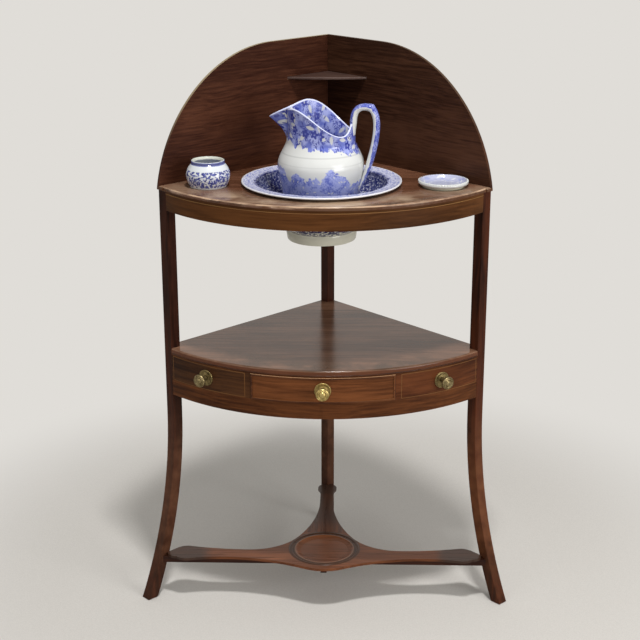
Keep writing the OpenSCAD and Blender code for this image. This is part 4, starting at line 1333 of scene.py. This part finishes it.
@dataclass
class Jug:
    """The jug: a round body, a neck that rises to a long lip, and a looped handle."""

    centre: Point2 = (-6.7, -308.5)
    turn: float = 10.3
    base: float = -83.2
    foot: float = 48.0
    belly: float = 74.0
    belly_up: float = -20.0
    shoulder: float = 83.0
    shoulder_up: float = 42.0
    throat: float = 64.0
    throat_up: float = 97.0
    neck: float = 85.0
    mouth_back: float = 63.1
    mouth_side: float = 74.3
    pour: float = 101.4
    pour_turn: float = 8.65
    rim_low: float = 99.7
    rim_high: float = 154.0
    rim_peak: float = 41.4
    lip_fall: float = 24.2
    lip_bend: float = 1.34
    heel: float = 24.6
    heel_turn: float = 24.0
    lip_pinch: float = 3.0
    pinch_turn: float = 60.0
    wall: float = 4.0
    floor: float = 5.0
    rim_round: float = 1.4
    around: int = 160
    body_rows: int = 48
    neck_rows: int = 26
    row_gap: float = 0.0020
    handle_side: float = 9.5
    handle_thick: float = 6.5
    handle_end: float = 3.0
    handle_grow: float = 0.44
    thumb: float = 2.6
    thumb_out: float = 96.0
    thumb_wide: float = 3.2

    def radius(self, z: float) -> float:
        """Give the body's radius at a height.

        Args:
            z: The height over the top board, in millimetres.

        Returns:
            The radius in millimetres.
        """
        if z < self.belly_up:
            share = (z - self.base) / (self.belly_up - self.base)
            return mix(self.foot, self.belly, math.sin(math.pi / 2 * share))
        if z < self.shoulder_up:
            share = (z - self.belly_up) / (self.shoulder_up - self.belly_up)
            return mix(self.belly, self.shoulder, ease(share))
        share = (z - self.shoulder_up) / (self.throat_up - self.shoulder_up)
        return mix(self.shoulder, self.throat, ease(min(1.0, share)))

    def lip(self, turn: float) -> Point2:
        """Follow the rim of the mouth.

        Args:
            turn: Angle from the lip, in degrees.

        Returns:
            The rim's distance out and its height, in millimetres.
        """
        wide = mix(self.mouth_back, self.mouth_side, math.sin(math.radians(turn)) ** 2)
        out = wide + (self.pour - self.mouth_back) * math.exp(-((turn / self.pour_turn) ** 2))
        ahead = out * math.cos(math.radians(turn))
        if ahead < self.rim_peak:
            share = (ahead + self.mouth_back) / (self.rim_peak + self.mouth_back)
            top = mix(self.rim_low, self.rim_high, ease(max(0.0, share)))
        else:
            share = (ahead - self.rim_peak) / (self.pour - self.rim_peak)
            top = self.rim_high - self.lip_fall * share ** self.lip_bend
        return out, top + self.heel * math.exp(-(((180 - abs(turn)) / self.heel_turn) ** 2))

    def point(self, turn: float, row: int, inset: float) -> Vector:
        """Find a point of the outer or inner wall.

        Args:
            turn: Angle from the lip, in degrees.
            row: Which ring, from the base up.
            inset: How far inside the outer wall.

        Returns:
            The point, in millimetres, with the lip along X.
        """
        if row <= self.body_rows:
            z = mix(self.base, self.neck, row / self.body_rows)
            out = self.radius(z)
        else:
            s = (row - self.body_rows) / self.neck_rows
            lip, top = self.lip(turn)
            pinch = self.lip_pinch * math.sin(math.pi * s) * math.exp(-((turn / self.pinch_turn) ** 2))
            out = mix(self.radius(self.neck), lip, s ** 1.4) - pinch
            z = mix(self.neck, top, s)
        out -= inset
        angle = math.radians(turn)
        return Vector((out * math.cos(angle), out * math.sin(angle), z))

    def shell(self, frame_of: Matrix) -> Mesh:
        """Build the body with its inner wall.

        Args:
            frame_of: Where the jug stands.

        Returns:
            The closed shell.
        """
        last = self.body_rows + self.neck_rows
        shares = [(2 * i - self.around) / self.around for i in range(self.around)]
        turns = [180 * math.copysign(abs(share) ** 1.6, share) for share in shares]
        rings = [[self.point(t, j, 0.0) for t in turns] for j in range(last + 1)]
        marks = [self.row_gap * (last - j) for j in range(last + 1)]
        rings.append([self.point(t, last, self.wall * 0.5) + Vector((0, 0, self.rim_round)) for t in turns])
        marks.append(0.0)
        deep = self.base + self.floor
        for j in range(last, -1, -1):
            ring = [self.point(t, j, self.wall) for t in turns]
            rings.append([Vector((p.x, p.y, max(p.z, deep))) for p in ring])
            marks.append(-self.row_gap * (last - j))
        return rings_mesh("jug_shell", [[frame_of @ (p * MM) for p in ring] for ring in rings], marks)

    def handle(self, frame_of: Matrix) -> Mesh:
        """Build the looped handle.

        Args:
            frame_of: Where the jug stands.

        Returns:
            The closed handle.
        """
        rise = [Vector(p) for p in ((63.5, 100), (62, 130), (60.6, 153.9), (87, 153.9))]
        fall = [Vector(p) for p in ((87, 153.9), (123.9, 153.9), (105.6, 61.8), (74.6, -5))]
        steps, around = 30, 32
        stations = [bezier(rise, i / steps) for i in range(steps + 1)]
        stations += [bezier(fall, i / steps) for i in range(1, steps + 1)]
        rings = []
        for j, (spot, way) in enumerate(stations):
            end = min(j, len(stations) - 1 - j)
            thick = min(self.handle_thick, self.handle_end + self.handle_grow * end)
            lift = self.thumb * math.exp(-(((spot.x - self.thumb_out) / self.thumb_wide) ** 2))
            thumb = lift if spot.y > self.neck else 0.0
            ring = []
            for a in (2 * math.pi * k / around for k in range(around)):
                level = math.cos(a)
                out = (thick + (thumb if level > 0.3 else 0.0)) * math.copysign(abs(level) ** 0.9, level)
                point = Vector((way.y * out - spot.x, self.handle_side * math.sin(a), spot.y + way.x * out))
                ring.append(frame_of @ (point * MM))
            rings.append(ring)
        return rings_mesh("jug_handle", rings)

    def build(self) -> None:
        """Build the jug and hand it to its body."""
        frame_of = stand_at(self.centre) @ Matrix.Rotation(math.radians(180 - self.turn), 4, "Z")
        for name, pattern, mesh in (
            ("body", Print.JUG, self.shell(frame_of)), ("handle", Print.HANDLE, self.handle(frame_of))
        ):
            glaze_name = "jug_glaze" if pattern is Print.JUG else "handle_glaze"
            glaze = GlazeFinish(glaze_name, pattern, self.centre, 78.0, 25.0, turn=self.turn).make()
            hand_over(new_object(f"jug_{name}", mesh, glaze), "jug", "jug")
        LOG.info("wash set: jug")


class Growth:
    """A geometry node tree that runs once, and whose result is kept as a plain mesh."""

    def __init__(self, name: str, values: dict[str, float], material: Material) -> None:
        """Start a tree with one input for each value.

        Args:
            name: Name of the tree.
            values: Its inputs by name, whole numbers or lengths and angles.
            material: The finish of what it grows.
        """
        self.material = material
        self.tree = bpy.data.node_groups.new(name, "GeometryNodeTree")
        face = self.tree.interface
        for way in ("INPUT", "OUTPUT"):
            face.new_socket("Geometry", in_out=way, socket_type="NodeSocketGeometry")
        kinds = {int: "NodeSocketInt", float: "NodeSocketFloat"}
        self.values = {
            face.new_socket(key, in_out="INPUT", socket_type=kinds[type(value)]).identifier: value
            for key, value in values.items()
        }
        self.source = self.tree.nodes.new("NodeGroupInput")

    def add(self, kind: str, **inputs: object) -> Socket:
        """Add a node.

        Args:
            kind: Its type, without the part that all geometry nodes share.
            inputs: Its inputs by name, with low lines for spaces: a socket, an input of the tree or a value.

        Returns:
            Its first output.
        """
        node = self.tree.nodes.new(f"GeometryNode{kind}")
        for key, value in inputs.items():
            socket = node.inputs[key.replace("_", " ")]
            if isinstance(value, str):
                value = self.source.outputs[value]
            if isinstance(value, Socket):
                self.tree.links.new(value, socket)
            else:
                socket.default_value = value
        return node.outputs[0]

    def keep(self, name: str, last: Socket, frame_of: Matrix) -> Piece:
        """Run the tree and keep its result.

        Args:
            name: Name of the piece.
            last: What the tree grows.
            frame_of: Where the result stands.

        Returns:
            The plain piece.
        """
        real = self.add("RealizeInstances", Geometry=last)
        painted = self.add("SetMaterial", Geometry=real, Material=self.material)
        self.tree.links.new(painted, self.tree.nodes.new("NodeGroupOutput").inputs[0])
        seed = bpy.data.objects.new(f"{name}_seed", bpy.data.meshes.new(f"{name}_seed"))
        bpy.context.scene.collection.objects.link(seed)
        modifier = seed.modifiers.new("grow", "NODES")
        modifier.node_group = self.tree
        for identifier, value in self.values.items():
            modifier[identifier] = value
        graph = bpy.context.evaluated_depsgraph_get()
        mesh = bpy.data.meshes.new_from_object(seed.evaluated_get(graph), depsgraph=graph)
        seed.modifiers.clear()
        bpy.data.objects.remove(seed)
        mesh.transform(frame_of)
        mesh.name = name
        return new_object(name, mesh, self.material, 60)


@dataclass
class SmallWares:
    """The brush pot and the soap dish, with its beaded rim."""

    pot: Point2 = (-223.0, -321.0)
    pot_rows: int = 30
    pot_up: float = 45.9
    pot_wall: float = 3.5
    dish: Point2 = (228.3, -313.8)
    bead_count: int = 56
    bead: float = 1.5
    bead_out: float = 46.9
    bead_up: float = 875.2
    around: int = 96

    def pot_profile(self) -> list[Point2]:
        """Give the brush pot's profile.

        Returns:
            Distance out and height of each point, in millimetres.
        """
        shares = [i / self.pot_rows for i in range(self.pot_rows + 1)]
        body = [(self.pot_radius(share), 0.3 + self.pot_up * share) for share in shares]
        inner = [(r - self.pot_wall, z) for r, z in body][:3:-1]
        lip: list[Point2] = [
            (31.6, 47.2), (32.2, 48.6), (31.9, 50.2), (30.9, 51.0), (29.6, 50.9), (28.5, 49.6),
        ]
        return [(0.0, 2.3), (32.0, 2.3), (33.0, 0.3)] + body + lip + inner + [(33.0, 5.0), (0.0, 5.0)]

    @staticmethod
    def pot_radius(t: float) -> float:
        """Give the pot's radius at a share of its height."""
        swell = math.sin(math.pi * t)
        return mix(35.5, 42.5, swell) if t < 0.5 else mix(30.9, 42.5, max(swell, 0.0) ** 0.95)

    def dish_profile(self) -> list[Point2]:
        """Give the soap dish's profile.

        Returns:
            Distance out and height of each point, in millimetres.
        """
        return [
            (0.0, 1.8), (36.6, 1.8), (37.6, 0.3), (40.2, 0.3), (40.8, 1.2), (41.6, 4.0), (44.0, 4.6),
            (46.0, 5.2), (47.4, 6.2), (48.2, 7.6), (48.4, 9.0), (48.1, 10.4), (47.4, 11.6), (46.2, 12.5),
            (44.8, 12.8), (43.6, 12.2), (42.4, 10.6), (40.6, 8.0), (37.6, 5.6), (33.0, 4.7), (0.0, 4.6),
        ]

    def beads(self, material: Material) -> Piece:
        """Set a ring of small beads round the soap dish, with a node tree that repeats one bead.

        Args:
            material: The finish of the beads.

        Returns:
            The beads as one plain mesh.
        """
        values = {"Count": self.bead_count, "Ring Radius": self.bead_out * MM, "Bead Radius": self.bead * MM}
        growth = Growth("bead_ring", values, material)
        ring = growth.add("MeshCircle", Vertices="Count", Radius="Ring Radius")
        ball = growth.add("MeshUVSphere", Segments=12, Rings=8, Radius="Bead Radius")
        strung = growth.add("InstanceOnPoints", Points=ring, Instance=ball)
        return growth.keep("soap_dish_beads", strung, stand_at(self.dish, self.bead_up))

    def build(self) -> None:
        """Build both wares and hand them to their bodies."""
        ink = {"middle": "5a62a6", "deep": "2c3374"}
        leafy = GlazeFinish("pot_glaze", Print.POT, self.pot, 40.0, 9.5, "d5d9dc", **ink)
        pale = GlazeFinish("dish_glaze", Print.DISH, self.dish, 30.0, 16.0, "cccecc", "b7bad2", "98a0cc")
        pot = ware("brush_pot", self.pot_profile(), leafy, self.around, 1)
        dish = ware("soap_dish", self.dish_profile(), pale, self.around, 1)
        hand_over(pot, "brush_pot", "brush_pot")
        hand_over(dish, "soap_dish", "soap_dish")
        hand_over(self.beads(dish.data.materials[0]), "soap_dish")
        LOG.info("wash set: brush pot, soap dish and its beads")


@dataclass
class ShelfMoulding:
    """The thin half-round bead that runs along the lower edge of the middle shelf."""

    height: float = 525.8
    sweep: float = 43.2
    bead: float = 1.0

    def build(self) -> None:
        """Grow the bead along the bow and hand it to the stand."""
        wood = WoodFinish("moulding_polish", "27130a", "4b2915", Grain.ACROSS, rough=0.3, specular=0.2).make()
        values = {
            "Bow Radius": CASE_BOW.radius * MM,
            "Start": math.radians(-90 - self.sweep),
            "Sweep": math.radians(2 * self.sweep),
            "Bead Radius": self.bead * MM,
        }
        growth = Growth("bow_moulding", values, wood)
        ends = {"Start_Angle": "Start", "Sweep_Angle": "Sweep"}
        arc = growth.add("CurveArc", Resolution=96, Radius="Bow Radius", **ends)
        section = growth.add("CurvePrimitiveCircle", Resolution=12, Radius="Bead Radius")
        skin = growth.add("CurveToMesh", Curve=arc, Profile_Curve=section, Fill_Caps=True)
        piece = growth.keep("shelf_moulding", skin, stand_at((0.0, CASE_BOW.centre), self.height))
        hand_over(piece, "stand")
        LOG.info("wood: shelf moulding")


@dataclass
class Studio:
    """The camera at the photograph's angle, soft lamps, a pale floor and a pale background."""

    position: Triple = (63.215, -2944.792, 1485.013)
    yaw: float = -0.0277
    pitch: float = 0.3282
    roll: float = -0.0016
    focal: float = 1398.39
    middle: Point2 = (319.58, 320.78)
    aim: Triple = (0.0, 0.0, 0.6)
    wall: str = "e0ddd8"
    soft: str = "f4f3f0"
    soft_strength: float = 0.42
    fade_from: float = 0.55
    fade_to: float = 1.15

    def camera(self) -> None:
        """Set the camera where the photograph's was."""
        level = math.cos(self.pitch)
        ahead = Vector((math.sin(self.yaw) * level, math.cos(self.yaw) * level, -math.sin(self.pitch)))
        right = Vector((math.cos(self.yaw), -math.sin(self.yaw), 0.0))
        up = right.cross(ahead)
        rolled_right = math.cos(self.roll) * right + math.sin(self.roll) * up
        rolled_up = -math.sin(self.roll) * right + math.cos(self.roll) * up
        data = bpy.data.cameras.new("photo_camera")
        data.sensor_width = 36.0
        data.lens = self.focal / PHOTO_PIXELS * data.sensor_width
        data.shift_x = (PHOTO_PIXELS / 2 - self.middle[0]) / PHOTO_PIXELS
        data.shift_y = (self.middle[1] - PHOTO_PIXELS / 2) / PHOTO_PIXELS
        data.clip_end = 50.0
        camera = bpy.data.objects.new("photo_camera", data)
        axes = Matrix((rolled_right, rolled_up, -ahead)).transposed().to_4x4()
        camera.matrix_world = Matrix.Translation(place(*self.position)) @ axes
        bpy.context.scene.collection.objects.link(camera)
        bpy.context.scene.camera = camera

    def lamp(self, name: str, spot: Triple, size: float, power: float) -> None:
        """Add one soft lamp that looks at the object.

        Args:
            name: Its name.
            spot: Where it hangs, in metres.
            size: Side of its square face, in metres.
            power: Its power in watts.
        """
        data = bpy.data.lights.new(name, "AREA")
        data.size = size
        data.energy = power
        lamp = bpy.data.objects.new(name, data)
        lamp.location = spot
        lamp.rotation_euler = (Vector(self.aim) - Vector(spot)).to_track_quat("-Z", "Y").to_euler()
        bpy.context.scene.collection.objects.link(lamp)

    def world(self) -> None:
        """Light the room softly and show the pale wall behind the object."""
        graph = Graph(bpy.data.worlds.new("studio"))
        path = graph.add("LightPath").outputs
        seen = graph.math("MAXIMUM", path["Is Camera Ray"], path["Is Glossy Ray"])
        through = graph.math("MAXIMUM", seen, path["Is Transmission Ray"])
        soft = graph.add("Background", self.soft, self.soft_strength).outputs[0]
        graph.choose(through, soft, graph.add("Background", self.wall, 1.0).outputs[0])
        bpy.context.scene.world = graph.owner

    def fade(self, graph: Graph) -> None:
        """Let the floor pass into the pale background a little way from the feet.

        Args:
            graph: The floor's tree, with its surface in place.
        """
        near = graph.output.inputs[0].links[0].from_socket
        x, y, _ = graph.split(graph.coords)
        seen = graph.add("LightPath").outputs["Is Camera Ray"]
        share = graph.times(graph.band(graph.distance(x, y), self.fade_from, self.fade_to), seen)
        graph.choose(share, near, graph.add("Emission", self.wall, 1.0).outputs[0])

    def floor(self) -> None:
        """Lay a plain pale floor under the feet."""
        shape = bmesh.new()
        bmesh.ops.create_grid(shape, x_segments=8, y_segments=8, size=9.0)
        mesh = bpy.data.meshes.new("studio_floor")
        shape.to_mesh(mesh)
        shape.free()
        mesh.transform(Matrix.Translation((0.0, 0.0, -0.0006)))
        graph = Graph(bpy.data.materials.new("studio_floor"))
        speckle = graph.band(graph.noise(graph.coords, 500.0), 0.3, 0.7)
        colour = graph.tint("cfcbc5", "d8d4ce", speckle)
        material = graph.surface(Base_Color=colour, Roughness=0.9, Specular_IOR_Level=0.1)
        self.fade(graph)
        new_object("studio_floor", mesh, material, 35)

    def build(self) -> None:
        """Set up the whole studio."""
        self.camera()
        self.world()
        self.lamp("key_lamp", (0.2, -1.0, 3.4), 0.3, 60.0)
        self.lamp("side_lamp", (2.6, -2.3, 1.4), 1.7, 56.0)
        self.lamp("fill_lamp", (-2.4, -2.6, 1.9), 2.0, 9.0)
        self.floor()
        bpy.context.scene.view_settings.view_transform = "Standard"
        LOG.info("studio: camera, lamps, floor")


def main() -> None:
    """Build every sub-assembly in order."""
    logging.basicConfig(level=logging.INFO, format="%(name)s: %(message)s")
    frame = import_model()
    Studio().build()
    Timber(frame).build()
    ShelfMoulding().build()
    BrassKnobs(frame).build()
    Basin().build()
    Jug().build()
    SmallWares().build()


if __name__ == "__main__":
    main()
